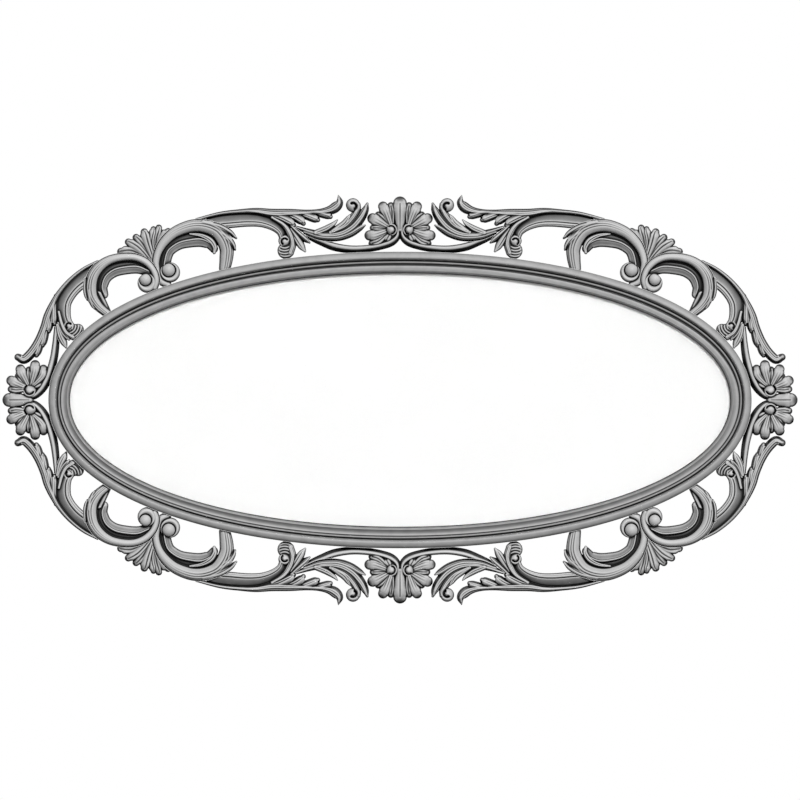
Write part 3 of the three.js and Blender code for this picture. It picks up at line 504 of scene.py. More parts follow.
PALMETTE_HEIGHT = 0.66 * RELIEF
LEAF_TAPER = ([0, 0.3, 0.6, 0.86, 1], [0.6, 0.92, 1.1, 1.06, 0.74])
palmette = [
    Flute(
        band_point(*root), band_point(*middle), band_point(*tip), share(half), PALMETTE_HEIGHT * level,
        fern_face, LEAF_TAPER,
    )
    for root, middle, tip, half, level in [
        ([42.7, 49], [40.9, 78.1], [38.3, 92.5], 10.4, 1.0),
        ([43, 49], [41.9, 81], [40.1, 106], 8, 0.88),
        ([43.2, 49], [42.7, 81.8], [41.2, 106.6], 6.8, 0.96),
        ([43.5, 48], [43.5, 81.6], [43.2, 109], 9, 1.06),
        ([43.7, 48], [44.4, 78.7], [45.3, 104.6], 8.8, 0.92),
        ([44, 47], [45.4, 77.3], [47.2, 101.3], 8.8, 1.0),
        ([44.2, 46], [46.6, 75.3], [49.6, 88.6], 9.4, 0.9),
    ]
]

# Top arm: three root leaves and a crest with four lobes, then the channel and its curled end

top_arm_leaves = [
    Strap([[20.5, 75.4, 3.9, 72], [18.7, 60.1, 5.6, 76], [17.8, 42.2, 6.8, 76], [17.6, 24.9, 7, 74],
           [18.2, 9.7, 7.1, 68]], crest_face),
    Strap([[17.5, 55.1, 3, 58], [16.4, 40.6, 5.6, 62], [15.4, 29.9, 5, 60], [14.7, 23.5, 2, 50]],
          lobe_face, 1),
    Strap([[17.6, 50.8, 4, 60], [16.8, 34, 7, 64], [16.1, 18.6, 6.4, 60], [15.6, 9.2, 2.2, 50]],
          fern_face),
    Strap([[33.5, 96.9, 2.6, 62], [29.2, 97.2, 3.9, 68], [25.7, 93.9, 4.9, 74], [23, 89.7, 6.6, 78],
           [20.4, 82.1, 8.6, 80], [17.4, 78.4, 8, 78], [14.8, 76.1, 6, 76], [12.8, 75.2, 6, 76],
           [11.2, 76.5, 7.8, 80], [10, 81.8, 9.4, 84], [9.3, 90.5, 6.9, 84], [9.4, 102.8, 0.8, 70]],
          crest_face, 1),
    Strap([[14.3, 77.3, 4, 54], [12.5, 71.8, 6, 72], [11.4, 67.6, 5.8, 76], [10.9, 66, 4.4, 70]],
          lobe_face, 1),
    Strap([[16.6, 78.8, 4.6, 54], [14.8, 70.9, 6.8, 72], [13.5, 64, 6.6, 78], [13, 62.2, 4.6, 72]],
          lobe_face, 1),
    Strap([[18.9, 80, 5.2, 54], [16.9, 71.7, 7.4, 72], [15.8, 63, 7, 78], [15.4, 58, 4.4, 70]],
          lobe_face, 1),
    Strap([[22.1, 84.3, 5.4, 56], [19.6, 75.3, 7.4, 74], [17.8, 63.6, 7.4, 82], [17.1, 57, 5, 74]],
          lobe_face, 1),
]
top_arm = top_arm_leaves + [
    Strap([[34.4, 80, 9, 60], [30.6, 83.6, 11.4, 66], [27.7, 81.2, 12.6, 70], [24.9, 78, 12.2, 70],
           [22.5, 72.4, 11.2, 70], [20.6, 62.4, 10, 70], [19.4, 49.6, 8.2, 70], [19.1, 36.1, 6.6, 68]],
          channel_face),
    Boss([18.9, 14.1, 14.8, 64], [18.9, 31.6]),
    Hook([18.9, 31.6, 11, 76], [18.9, 30, 5.6], 45),
]

# Leaf spray: the broad leaf that curls over beside the top shell, and the leaves on it

leaf_spray = [
    Strap([[16.7, 53, 3, 50], [14.4, 41.7, 5.6, 56], [12, 34.1, 7, 62], [9.5, 34.8, 8.6, 68],
           [7.5, 44.5, 9.4, 72], [6.1, 60.1, 8.6, 74], [5.3, 74.6, 6.6, 72], [4.95, 85.5, 2.4, 62]],
          crest_face, 1),
    Strap([[15.3, 41.5, 3, 44], [12.9, 30.6, 4.6, 54], [10.1, 27, 5.2, 60], [7.9, 32.7, 5.8, 60],
           [6.3, 42.2, 5, 58], [5.4, 47.6, 1.6, 50]], lobe_face, 1),
    Strap([[11.1, 38.2, 5.6, 62], [8.8, 47.4, 7.4, 70], [7.3, 62.4, 7.2, 76], [6.5, 76.9, 5.8, 80],
           [6.4, 84.6, 4.8, 80]], crest_face),
    Strap([[10.6, 40.5, 5.6, 58], [8.9, 51, 6, 68], [8.1, 61.5, 4, 66], [7.75, 67, 1.5, 60]],
          lobe_face, melt=5),
    Strap([[13.5, 40, 5, 60], [11.8, 45.3, 5.6, 64], [10.5, 52.8, 4, 62], [9.8, 59.5, 1.4, 56]],
          lobe_face, melt=5),
    Hook([7.2, 84, 12.4, 88], [7.2, 82, 5.6], 150, width=1.9),
]

# Side arm: a crest with four lobes, the channel, three root leaves and the curled end

side_arm = [
    Strap([[54, 87.7, 2.6, 66], [57.3, 88.2, 3.6, 70], [60.9, 85, 4.4, 74], [64.3, 78.8, 5.2, 76],
           [67.2, 70.7, 6.6, 78], [69.8, 62.3, 8, 78], [72.4, 53.2, 8.3, 76], [75.6, 47.7, 8.4, 76],
           [78.6, 48.5, 8.7, 80], [80.9, 56.1, 8.4, 84], [81, 68, 6.4, 80]], crest_face, -1),
    Strap([[73.5, 49.5, 5.4, 54], [76, 43, 6.4, 72], [77.9, 39.8, 6.2, 76], [78.9, 39.6, 4.6, 70]],
          lobe_face, -1),
    Strap([[70.6, 58.8, 5.6, 54], [72.9, 47.6, 6.6, 72], [75, 40.6, 6.4, 76], [76.1, 38.8, 4.6, 70]],
          lobe_face, -1),
    Strap([[67.6, 70.4, 5.2, 54], [69.6, 57, 6.8, 72], [71.4, 48, 6.4, 78], [72.4, 44.6, 4.8, 70]],
          lobe_face, -1),
    Strap([[65.4, 77.6, 4.8, 56], [67.3, 65.2, 6.2, 74], [69, 51.6, 6.6, 80], [70.1, 45, 4.8, 72]],
          lobe_face, -1),
    Strap([[54.8, 73.4, 14, 64], [59.2, 73.2, 14.4, 68], [62.2, 69.4, 13.8, 70], [64.9, 60.8, 13.4, 70],
           [66.8, 47.3, 13.4, 70], [67.8, 33.7, 11.7, 70], [68, 21.2, 9.5, 66]], turned(channel_face)),
    Strap([[67.4, 54, 4.4, 66], [68.9, 35.4, 5.8, 70], [69.7, 19.6, 6.4, 70], [69.3, 5, 6.2, 66]],
          crest_face),
    Strap([[69.3, 40.5, 3.4, 58], [70.1, 24.4, 6, 62], [70.4, 13, 5.6, 58], [70.6, 7, 2.2, 48]],
          fern_face),
    Strap([[69.8, 39.3, 4.2, 58], [71.2, 23.6, 6.6, 62], [72.2, 10.1, 6, 58], [72.9, 2, 2.2, 48]],
          fern_face),
    Boss([66.9, 7.9, 10.6, 58], [68, 24.7]),
    Boss([68.1, 11.5, 13.4, 64], [68, 24.7]),
    Hook([68, 24.7, 9.4, 76], [68, 24, 4.8], 45),
]

# Shells: each flute's lean from the axis in degrees, and its length, half width and bend in
# percent, counted from the ball. A flute is a broad spoon or a narrow one between two of them.
# A low leaf fills the corner between the top shell's ball and its stem.

SHELL_HEIGHT = 0.8 * RELIEF
NARROW_LEVEL, MIDDLE_LEVEL = 0.86, 1.06
FLUTE_ROOT = 6
FLUTE_BEND = 0.6
BROAD_FLUTE = 8.3


def shell_flutes(outward, aside, ball, middle_flute, flutes):
    """The half of a shell on one side of its axis, with the middle flute."""
    origin = band_point(0 if outward[1] else 90, 0)
    outward, aside = np.array(outward, float), np.array(aside, float)
    centre = origin + aside * share(ball[0]) + outward * share(ball[1])
    found = []
    for lean, length, half, bend in flutes:
        angle = math.radians(lean)
        reach = outward * math.cos(angle) + aside * math.sin(angle)
        sideways = aside * math.cos(angle) - outward * math.sin(angle)
        broad = half > BROAD_FLUTE
        found.append(Flute(
            centre + reach * share(FLUTE_ROOT),
            centre + reach * share(FLUTE_BEND * length) + sideways * share(bend),
            centre + reach * share(length), share(half), SHELL_HEIGHT * (1 if broad else NARROW_LEVEL),
            spoon_face if broad else narrow_face,
        ))
    root, tip, half = middle_flute
    on_axis = [origin + outward * share(percent) for percent in (root, (root + tip) / 2, tip)]
    return found + [Flute(*on_axis, share(half), MIDDLE_LEVEL * SHELL_HEIGHT, bulb_face)]


top_fan = shell_flutes(
    (0, 1), (1, 0), (13, 39.9), (40, 97.6, 13.4),
    [[4.9, 47.8, 7, -1.4], [23.9, 52.3, 9.9, -1.7], [45.9, 41.8, 6.8, -1.3], [62.7, 49.6, 10.6, -0.8],
     [86.8, 40.7, 6.4, -0.5], [103.7, 51.4, 10.2, 2.6], [123.2, 50.6, 7.4, 4.1], [150, 31, 8.2, 0]],
) + [Strap([[0.9, 33, 6.5, 48], [1.8, 26, 7, 50], [4, 22, 6, 48]], narrow_face, melt=4)]
side_fan = shell_flutes(
    (1, 0), (0, 1), (18.7, 32.3), (34, 81.2, 13.8),
    [[2, 39.7, 7, -1.9], [25.7, 45.6, 9.9, -0.9], [48.1, 37.5, 6.8, -0.3], [64.9, 48.3, 9.7, -1],
     [86.8, 40.7, 6.8, -0.4], [100.4, 52.8, 9.7, 2.3], [120.2, 50.5, 8.6, 5.9], [147, 31, 8.2, 0]],
)
top_stem = [
    Strap([[0.25, 50, 4.4, 62], [0.25, 29.5, 5.2, 64], [1.2, 17, 6.6, 66], [3.1, 9.7, 6.4, 68],
           [5.5, 6.2, 6.6, 68], [8, 6.5, 7, 66], [10.5, 12.1, 7.3, 60], [12.6, 22.2, 6.6, 56],
           [14.7, 34.1, 4.8, 50], [16.7, 50.9, 2.8, 44]], stem_face),
]
top_eye = [Hook([1.25, 39.2, 10.8, 98], [1.35, 38.6, 7], 160)]
side_stem = [
    Strap([[88, 41.9, 3.5, 62], [89.2, 36.8, 4.6, 64], [89.1, 25.5, 5.6, 66], [87.4, 14, 6.9, 68],
           [84.6, 6.8, 7.8, 68], [81.2, 5.4, 7.8, 66], [77.6, 9.5, 7.2, 62], [74.5, 18, 6.7, 58],
           [71.9, 29.3, 5.6, 54], [69.4, 44.2, 3.9, 48]], turned(stem_face)),
]
side_eye = [Hook([87.8, 33.5, 11.8, 98], [87.5, 34.4, 8], -50)]


def carved(parts, *above):
    """Relief of a piece that gives way to the moulding and to the pieces above it."""

    def at(x, z):
        inside, height = relief_of(parts, x, z)
        for room in above:
            inside = np.minimum(inside, -room_of(room, x, z) - GAP)
        return np.minimum(inside, outside_moulding(x, z) - GAP), height

    return at


def stemmed(fan, stem, ball, *above):
    """Relief of a shell, of which the stem alone gives way to the pieces above it."""

    def at(x, z):
        stem_inside, stem_height = relief_of(stem, x, z)
        for room in above:
            stem_inside = np.minimum(stem_inside, -room_of(room, x, z) - GAP)
        inside, height = relief_of(fan + ball, x, z)
        height = np.maximum(height, np.where(stem_inside > -COVER, stem_height, 0))
        inside = np.maximum(inside, stem_inside)
        return np.minimum(inside, outside_moulding(x, z) - GAP), height

    return at


# Meshes


def grid_box(parts):
    """The corners of the grid that holds a group of parts."""
    reaches = [part.reach() for part in parts]
    low = np.min([r[0] for r in reaches], 0) - 2 * PITCH
    high = np.max([r[1] for r in reaches], 0) + 2 * PITCH
    return low, high


def largest_island(cells):
    """Keeps the cells that hang together with the most others."""
    left = {tuple(c) for c in np.argwhere(cells)}
    best = []
    while left:
        found, edge = [], [left.pop()]
        while edge:
            i, j = edge.pop()
            found.append((i, j))
            for other in ((i + 1, j), (i - 1, j), (i, j + 1), (i, j - 1)):
                if other in left:
                    left.remove(other)
                    edge.append(other)
        if len(found) > len(best):
            best = found
    kept = np.zeros_like(cells)
    kept[tuple(np.array(best).T)] = True
    return kept


PINCH_ROUNDS = 3


def without_pinches(cells):
    """Fills the corners where two cells touch only at a point, and those that this makes."""
    for _ in range(PINCH_ROUNDS):
        a, b, c, d = cells[:-1, :-1], cells[1:, 1:], cells[1:, :-1], cells[:-1, 1:]
        cross = (a & b & ~c & ~d) | (~a & ~b & c & d)
        for block in (a, b, c, d):
            block |= cross
    return cells


def blurred(values, weights, times):
    """Mean of the weighted neighbours, taken again and again."""
    for _ in range(times):
        total, count = np.zeros_like(values), np.zeros_like(values)
        for axis in (0, 1):
            for shift in (-1, 0, 1):
                total += np.roll(values * weights, shift, axis)
                count += np.roll(weights, shift, axis)
        values = np.where(count > 0, total / np.maximum(count, 1e-6), values)
    return values


# Painted shading: rounds of the two blurs, the hollows below them that take the full painted
# shade, and the painted shade that steep ground, the rim, low ground and the upright sides add
FINE_BLUR, BROAD_BLUR = 7, 45
FINE_HOLLOW, BROAD_HOLLOW = 0.9, 3.2
STEEP_SHARE, RIM_SHARE, RIM_REACH = 1.5, 0.3, 2.2
DEEP_SHARE, DEEP_FROM = 0.9, 13.0
WALL_PAINTED_SHADE = 0.75


def painted_shading_of(height, used, inside, xs, zs):
    """The painted shading on each point of a relief: painted shade most in hollows, on steep and low
    ground and at the rim, and a painted highlight on the crowns.
    """
    weights = used.astype(float)
    relief = np.where(used, height, 0)
    fine = blurred(relief, weights, FINE_BLUR) - height
    broad = blurred(relief, weights, BROAD_BLUR) - height
    steep = 1 - 1 / np.sqrt(1 + sum(g**2 for g in np.gradient(blurred(relief, weights, 1), xs, zs)))
    rim = np.clip(1 - inside / RIM_REACH, 0, 1)
    deep = np.clip(1 - height / DEEP_FROM, 0, 1)
    hollow = fine / FINE_HOLLOW + broad / BROAD_HOLLOW
    return hollow + STEEP_SHARE * steep + RIM_SHARE * rim + DEEP_SHARE * deep


# Rim of the relief: how far its points move to the outline, and the depth that is looked at
RIM_MOVE = 0.75 * PITCH
RIM_DEPTH = 3 * PITCH
LEAST_SLOPE = 0.25


def relief_solid(at, low, high, mirror_axis=None):
    """Points, faces and painted shading of a carved piece's front.

    With a mirror axis, both sides of it come from one side's relief.
    """
    if mirror_axis is not None:
        low = low.copy()
        low[mirror_axis] = -high[mirror_axis]
    counts = np.ceil((high - low) / PITCH).astype(int)
    xs, zs = (low[k] + (high[k] - low[k]) * np.arange(counts[k] + 1) / counts[k] for k in (0, 1))
    x, z = np.meshgrid(xs, zs, indexing="ij")

    def value(*place):
        return at(*(np.abs(p) if k == mirror_axis else p for k, p in enumerate(place)))

    inside, height = value(x, z)
    depth = np.clip(inside, -RIM_DEPTH, RIM_DEPTH)
    middle = (depth[:-1, :-1] + depth[1:, :-1] + depth[:-1, 1:] + depth[1:, 1:]) / 4
    cells = largest_island(without_pinches(middle > 0))
    cells_round = np.zeros(x.shape, int)
    for i in (0, 1):
        for j in (0, 1):
            cells_round[i:x.shape[0] - 1 + i, j:x.shape[1] - 1 + j] += cells
    used = cells_round > 0
    rim = used & (cells_round < 4)
    gx, gz = np.gradient(depth, xs, zs)
    slope = np.maximum(gx**2 + gz**2, LEAST_SLOPE)
    move = np.clip(depth / slope, -RIM_MOVE, RIM_MOVE)
    x[rim] -= (move * gx)[rim]
    z[rim] -= (move * gz)[rim]
    height[rim] = value(x[rim], z[rim])[1]
    height = np.maximum(height, LEAST_HEIGHT)
    shade = painted_shading_of(height, used, np.maximum(inside, 0), xs, zs)

    number = np.full(x.shape, -1)
    number[used] = np.arange(used.sum())
    top = np.column_stack([x[used], -(STAND_OFF + height[used]), z[used]])
    i, j = np.nonzero(cells)
    quads = np.column_stack([number[i, j], number[i + 1, j], number[i + 1, j + 1], number[i, j + 1]])
    return top, quads, shade[used]


def rim_edges(quads):
    """Directed edges that belong to one face only."""
    edges = np.vstack([quads[:, [k, (k + 1) % 4]] for k in range(4)])
    keys = np.sort(edges, 1)
    _, first, count = np.unique(keys, axis=0, return_index=True, return_counts=True)
    return edges[first[count == 1]]


def closed_solid(top, quads, shade):
    """Adds upright sides and a flat back to a relief: points, faces, painted shading and sharp edges."""
    edges = rim_edges(quads)
    rim = np.unique(edges)
    below = np.full(len(top), -1)
    below[rim] = len(top) + np.arange(len(rim))
    back = top[rim].copy()
    back[:, 1] = -STAND_OFF
    walls = np.column_stack([edges[:, 1], edges[:, 0], below[edges[:, 0]], below[edges[:, 1]]])

    mesh = bmesh.new()
    corners = {k: mesh.verts.new(back[k - len(top)]) for k in below[rim]}
    mesh.verts.index_update()
    loops = [mesh.edges.new((corners[below[a]], corners[below[b]])) for a, b in edges]
    filled = bmesh.ops.triangle_fill(mesh, edges=loops, use_beauty=True, normal=(0, 1, 0))
    numbers = {vert: k for k, vert in corners.items()}
    caps = []
    for face in filled["geom"]:
        if isinstance(face, bmesh.types.BMFace):
            turn = [numbers[v] for v in face.verts]
            caps.append(turn if face.normal.y > 0 else turn[::-1])
    mesh.free()
    points = np.vstack([top, back])
    faces = [list(q) for q in quads] + [list(w) for w in walls] + caps
    shade = np.concatenate([shade, np.full(len(rim), WALL_PAINTED_SHADE)])
    return points, faces, shade, np.vstack([edges, below[edges]])


def mesh_object(name, points, faces, slots, shade, sharp=None):
    """A mesh object from points in millimetres, with its painted shading and its sharp edges."""
    mesh = bpy.data.meshes.new(name)
    mesh.from_pydata((np.asarray(points) * MM).tolist(), [], faces)
    mesh.validate()
    mesh.shade_smooth()
    # Painted shading: higher for painted shade in hollows and on steep ground, lower for a painted
    # highlight on crowns
    painted_shading = mesh.attributes.new("painted_shading", "FLOAT", "POINT")
    painted_shading.data.foreach_set("value", np.asarray(shade, np.float32))
    if sharp is not None:
        keys = {tuple(sorted(e)) for e in sharp.tolist()}
        marks = np.array([tuple(sorted(e.vertices)) in keys for e in mesh.edges])
        attribute = mesh.attributes.get("sharp_edge")
        attribute = attribute or mesh.attributes.new("sharp_edge", "BOOLEAN", "EDGE")
        attribute.data.foreach_set("value", marks)
    for material in slots:
        mesh.materials.append(material)
    piece = bpy.data.objects.new(name, mesh)
    bpy.context.scene.collection.objects.link(piece)
    return piece


def mirrored(points, faces, sign_x, sign_z):
    """Points and faces in another quarter, with the faces turned where the mirror flips them."""
    points = points * np.array([sign_x, 1, sign_z])
    return points, faces if sign_x * sign_z > 0 else [f[::-1] for f in faces]


# Materials


def node_material(name, roughness, metallic=0.0):
    material = bpy.data.materials.new(name)
    material.use_nodes = True
    shader = material.node_tree.nodes["Principled BSDF"]
    shader.inputs["Roughness"].default_value = roughness
    shader.inputs["Metallic"].default_value = metallic
    return material, shader


def add_node(material, kind, **settings):
    """A shader node with its inputs or its own properties set by name."""
    node = material.node_tree.nodes.new(kind)
    for key, value in settings.items():
        if key in node.inputs:
            node.inputs[key].default_value = value
        else:
            setattr(node, key, value)
    return node


def link(material, output, target):
    material.node_tree.links.new(output, target)


def object_noise(material, scale, detail=4.0, stretch=(1, 1, 1)):
    """Noise in the object's own space, finer along the stretched axes."""
    place = add_node(material, "ShaderNodeTexCoord")
    mapping = add_node(material, "ShaderNodeMapping")
    mapping.inputs["Scale"].default_value = stretch
    noise = add_node(material, "ShaderNodeTexNoise", Scale=scale, Detail=detail)
    link(material, place.outputs["Object"], mapping.inputs["Vector"])
    link(material, mapping.outputs["Vector"], noise.inputs["Vector"])
    return noise.outputs["Fac"]


def ramp(material, source, stops):
    """Colours along a source from 0 to 1."""
    node = add_node(material, "ShaderNodeValToRGB")
    elements = node.color_ramp.elements
    while len(elements) < len(stops):
        elements.new(0.5)
    for element, (place, colour) in zip(elements, stops):
        element.position = place
        element.color = (*colour, 1)
    link(material, source, node.inputs["Fac"])
    return node.outputs["Color"]


def bump(material, shader, source, depth):
    """Fine grain in the shader's normal, by a depth in metres."""
    node = add_node(material, "ShaderNodeBump", Strength=1.0, Distance=depth)
    link(material, source, node.inputs["Height"])
    link(material, node.outputs["Normal"], shader.inputs["Normal"])


def grey(value):
    return value, value, value


# The paint's grey by its place in the range of the painted shading, light for painted highlight
# and dark for painted shade, and how far brush marks shift the painted shading
PAINTED_SHADING_RANGE = (-0.6, 1.4)
PAINTED_SHADING_TONES = [
    (0.0, 0.5), (0.2, 0.42), (0.3, 0.34), (0.42, 0.17), (0.56, 0.065), (0.72, 0.015), (1.0, 0.004),
]
BRUSH_MARKS = (-0.09, 0.09)


def carved_paint():
    """Satin grey paint, darkened by painted shade in the hollows and lightened by a painted highlight on
    the crowns.
    """
    material, shader = node_material("carved_paint", 0.5)
    shader.inputs["Specular IOR Level"].default_value = 0.2
    # The painted shading on the mesh points sets the paint's grey, dark for painted shade and light for
    # painted highlight
    attribute = add_node(material, "ShaderNodeAttribute", attribute_name="painted_shading")
    brushed = add_node(material, "ShaderNodeMapRange", **dict(zip(("To Min", "To Max"), BRUSH_MARKS)))
    link(material, object_noise(material, 90, 5), brushed.inputs["Value"])
    painted_shading = add_node(material, "ShaderNodeMath", operation="ADD")
    link(material, attribute.outputs["Fac"], painted_shading.inputs[0])
    link(material, brushed.outputs["Result"], painted_shading.inputs[1])
    place = add_node(material, "ShaderNodeMapRange", **dict(zip(("From Min", "From Max"), PAINTED_SHADING_RANGE)))
    link(material, painted_shading.outputs["Value"], place.inputs["Value"])
    tone = ramp(material, place.outputs["Result"], [(at, grey(value)) for at, value in PAINTED_SHADING_TONES])
    link(material, tone, shader.inputs["Base Color"])
    bump(material, shader, object_noise(material, 900, 3), 0.12 * MM)
    return material


def bare_wood(name, dark, light, scale=14):
    """Wood with its grain along X."""
    material, shader = node_material(name, 0.62)
    grain = object_noise(material, scale, 6, (1, 12, 12))
    link(material, ramp(material, grain, [(0.32, dark), (0.62, light)]), shader.inputs["Base Color"])
    bump(material, shader, object_noise(material, 60, 4, (1, 14, 14)), 0.2 * MM)
    return material


PAINT = carved_paint()
REAR_WOOD = bare_wood("rear_wood", (0.16, 0.1, 0.055), (0.3, 0.2, 0.115))

# Carved pieces

QUARTERS = {
    "upper_right": (1, 1), "lower_right": (1, -1), "lower_left": (-1, -1), "upper_left": (-1, 1),
}


def keep(piece):
    """Puts a carved piece in the place of its CAD node."""
    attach(piece, "frame")
    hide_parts(piece.name.removesuffix("_carved"))


def add_carving(node, solid, sign_x=1, sign_z=1):
    points, faces, shade, sharp = solid
    points, faces = mirrored(points, faces, sign_x, sign_z)
    keep(mesh_object(f"{node}_carved", points, faces, [PAINT], shade, sharp))


# Each motif's parts, then the groups of parts that it gives way to
MOTIFS = {
    "outer_scroll": (outer_scroll,),
    "inner_scroll": (inner_scroll, outer_roll),
    "palmette": (palmette, outer_roll, inner_roll),
    "side_arm": (side_arm, outer_roll),
    "top_arm": (top_arm, inner_roll),
    "leaf_spray": (leaf_spray, top_arm_leaves, top_fan),
}
for motif, (parts, *above) in MOTIFS.items():
    solid = closed_solid(*relief_solid(carved(parts, *above), *grid_box(parts)))
    for quarter, signs in QUARTERS.items():
        add_carving(f"{motif}_{quarter}", solid, *signs)

top_relief = stemmed(top_fan, top_stem, top_eye, leaf_spray, top_arm_leaves)
top_box = grid_box(top_fan + top_stem + top_eye)
solid = closed_solid(*relief_solid(top_relief, *top_box, mirror_axis=0))
add_carving("shell_top", solid)
add_carving("shell_bottom", solid, 1, -1)

side_parts = side_fan + side_stem + side_eye
solid = closed_solid(*relief_solid(carved(side_parts, side_arm), *grid_box(side_parts), mirror_axis=1))
add_carving("shell_right", solid)
add_carving("shell_left", solid, -1, 1)

# Moulding: runs of the profile between its arrises, each a smooth line of points given as
# distance in from the outer edge and height above the back. The last two are bare wood.

PROFILE_RUNS = [
    [[0, BACK_PROUD], [0, 15.5]],
    [[0, 15.5], [0.8, 18.6], [3, 21.3], [6, 23], [8.2, 23.5], [10, 22.8], [11.5, 20.4], [12.5, 17]],
    [[12.5, 17], [13.1, 13.2]],
    [[13.1, 13.2], [14, 13.2]],
    [[14, 13.2], [14.5, 16.4]],
    [[14.5, 16.4], [15.5, 17.6], [16.6, 17], [17.3, 15.2]],
    [[17.3, 15.2], [18.4, 10.4]],
    [[18.4, 10.4], [20.4, 9.6], [22.4, 9.8], [24.4, 11], [26.2, 12.7], [27.7, 14.4]],
    [[27.7, 14.4], [28.1, 14.3]],
    [[28.1, 14.3], [30, 12.7], [31.4, 11.4]],
    [[31.4, 11.4], [31.6, 10.9]],
    [[31.6, 10.9], [31.8, 11], [MOULDING_WIDTH, 10.2]],
    [[MOULDING_WIDTH, 10.2], [MOULDING_WIDTH, REBATE_DEPTH]],
    [[MOULDING_WIDTH, REBATE_DEPTH], [MOULDING_WIDTH - REBATE_WIDTH, REBATE_DEPTH]],
    [[MOULDING_WIDTH - REBATE_WIDTH, REBATE_DEPTH], [MOULDING_WIDTH - REBATE_WIDTH, BACK_PROUD]],
]
BARE_FROM = len(PROFILE_RUNS) - 2
RUN_STEPS = 5
STATIONS = 130
ARRIS_ANGLE = 32


def moulding_profile():
    """Points of the profile in a ring, and for each edge whether it is bare wood at the back."""
    points, bare = [], []
    for k, rows in enumerate(PROFILE_RUNS):
        count = 2 if len(rows) == 2 else RUN_STEPS * (len(rows) - 1) + 1
        run = smooth_line(rows, count)[:-1]
        points.extend(run)
        bare.extend([k >= BARE_FROM] * len(run))
    points.append(np.array([MOULDING_WIDTH - REBATE_WIDTH, BACK_PROUD]))
    bare.append(True)
    return np.array(points), bare


# Painted shade on the moulding: what its quirks, its slopes and the ground by the sight edge add
QUIRK_SHARE, QUIRK_FROM, SLOPE_SHARE = 4.4, 0.1, 0.3
SIGHT_SHARE, SIGHT_FROM = 0.22, 27.9


def moulding_painted_shading(profile):
    """The painted shade on the profile's points: black in the quirks and faint on the slopes."""
    front = profile[(profile[:, 1] > REBATE_DEPTH) & (profile[:, 0] > 0)]
    across = np.arange(0, MOULDING_WIDTH, PITCH / 2)
    height = np.tile(np.interp(across, front[:, 0], front[:, 1])[:, None], (1, 3))
    hollow = (blurred(height, np.ones(height.shape), FINE_BLUR) - height)[:, 1]
    steep = 1 - 1 / np.sqrt(1 + np.gradient(height[:, 1], across) ** 2)
    sight = np.clip((across - SIGHT_FROM) / (MOULDING_WIDTH - SIGHT_FROM), 0, 1)
    shade = QUIRK_SHARE * np.maximum(hollow - QUIRK_FROM, 0) + SLOPE_SHARE * steep + SIGHT_SHARE * sight
    return np.where(profile[:, 1] > REBATE_DEPTH, np.interp(profile[:, 0], across, shade), WALL_PAINTED_SHADE)


def moulding_segment(name, start, end):
    """The profile swept round the oval between two angles, as a closed solid."""
    profile, bare = moulding_profile()
    # Painted shade of the profile, the same at every station
    shade = np.tile(moulding_painted_shading(profile), STATIONS)
    angles = np.linspace(start, end, STATIONS)
    rings = []
    for k, angle in enumerate(angles):
        draw = {0: SEAM, STATIONS - 1: -SEAM}.get(k, 0)
        centre, normal = oval_point(angle, MOULDING_WIDTH)
        along = np.array([normal[1], -normal[0]]) * draw
        plan = centre + along - profile[:, :1] * normal
        rings.append(np.column_stack([plan[:, 0], -(STAND_OFF + profile[:, 1]), plan[:, 1]]))
    size = len(profile)
    faces, marks = [], []
    for k in range(STATIONS - 1):
        for i in range(size):
            a, b = k * size + i, k * size + (i + 1) % size
            faces.append([a, b, b + size, a + size])
            marks.append(int(bare[i]))
    last = (STATIONS - 1) * size
    faces += [list(range(size))[::-1], [last + i for i in range(size)]]
    marks += [1, 1]
    piece = mesh_object(f"{name}_carved", np.vstack(rings), faces, [PAINT, REAR_WOOD], shade)
    piece.data.polygons.foreach_set("material_index", marks)
    piece.data.set_sharp_from_angle(angle=math.radians(ARRIS_ANGLE))
    keep(piece)


for k, name in enumerate(("top", "right", "bottom", "left")):
    moulding_segment(f"moulding_{name}", (2 * k - 1) * JOINT_ANGLE, (2 * k + 1) * JOINT_ANGLE)

# Materials of the CAD nodes that stay


def plain_material(name, colour, roughness, metallic=0.0, scale=200, spread=0.06):
    """One colour, a little uneven, with fine grain."""
    material, shader = node_material(name, roughness, metallic)
    darker = tuple(c * (1 - spread) for c in colour)
    lighter = tuple(min(1, c * (1 + spread)) for c in colour)
    tone = ramp(material, object_noise(material, scale), [(0.3, darker), (0.7, lighter)])
    link(material, tone, shader.inputs["Base Color"])
    bump(material, shader, object_noise(material, 4 * scale, 3), 0.05 * MM)
    return material


BRASS = plain_material("button_brass", (0.48, 0.33, 0.12), 0.3, 1.0)
STEEL = plain_material("fitting_steel", (0.46, 0.47, 0.48), 0.28, 1.0)
RUBBER = plain_material("bumper_rubber", (0.03, 0.03, 0.03), 0.7)
CARD = plain_material("blank_card", (0.96, 0.96, 0.955), 0.85, 0.0, 400, 0.01)
BOARD = bare_wood("backing_board", (0.12, 0.07, 0.035), (0.2, 0.125, 0.07), 30)


def clear_glass():
    """Thin clear glass with a trace of unevenness."""
    material, shader = node_material("glazing", 0.03)
    shader.inputs["Base Color"].default_value = (1, 1, 1, 1)
    shader.inputs["Transmission Weight"].default_value = 1.0
    shader.inputs["IOR"].default_value = 1.5
    bump(material, shader, object_noise(material, 8, 1), 0.01 * MM)
    return material


GLASS = clear_glass()

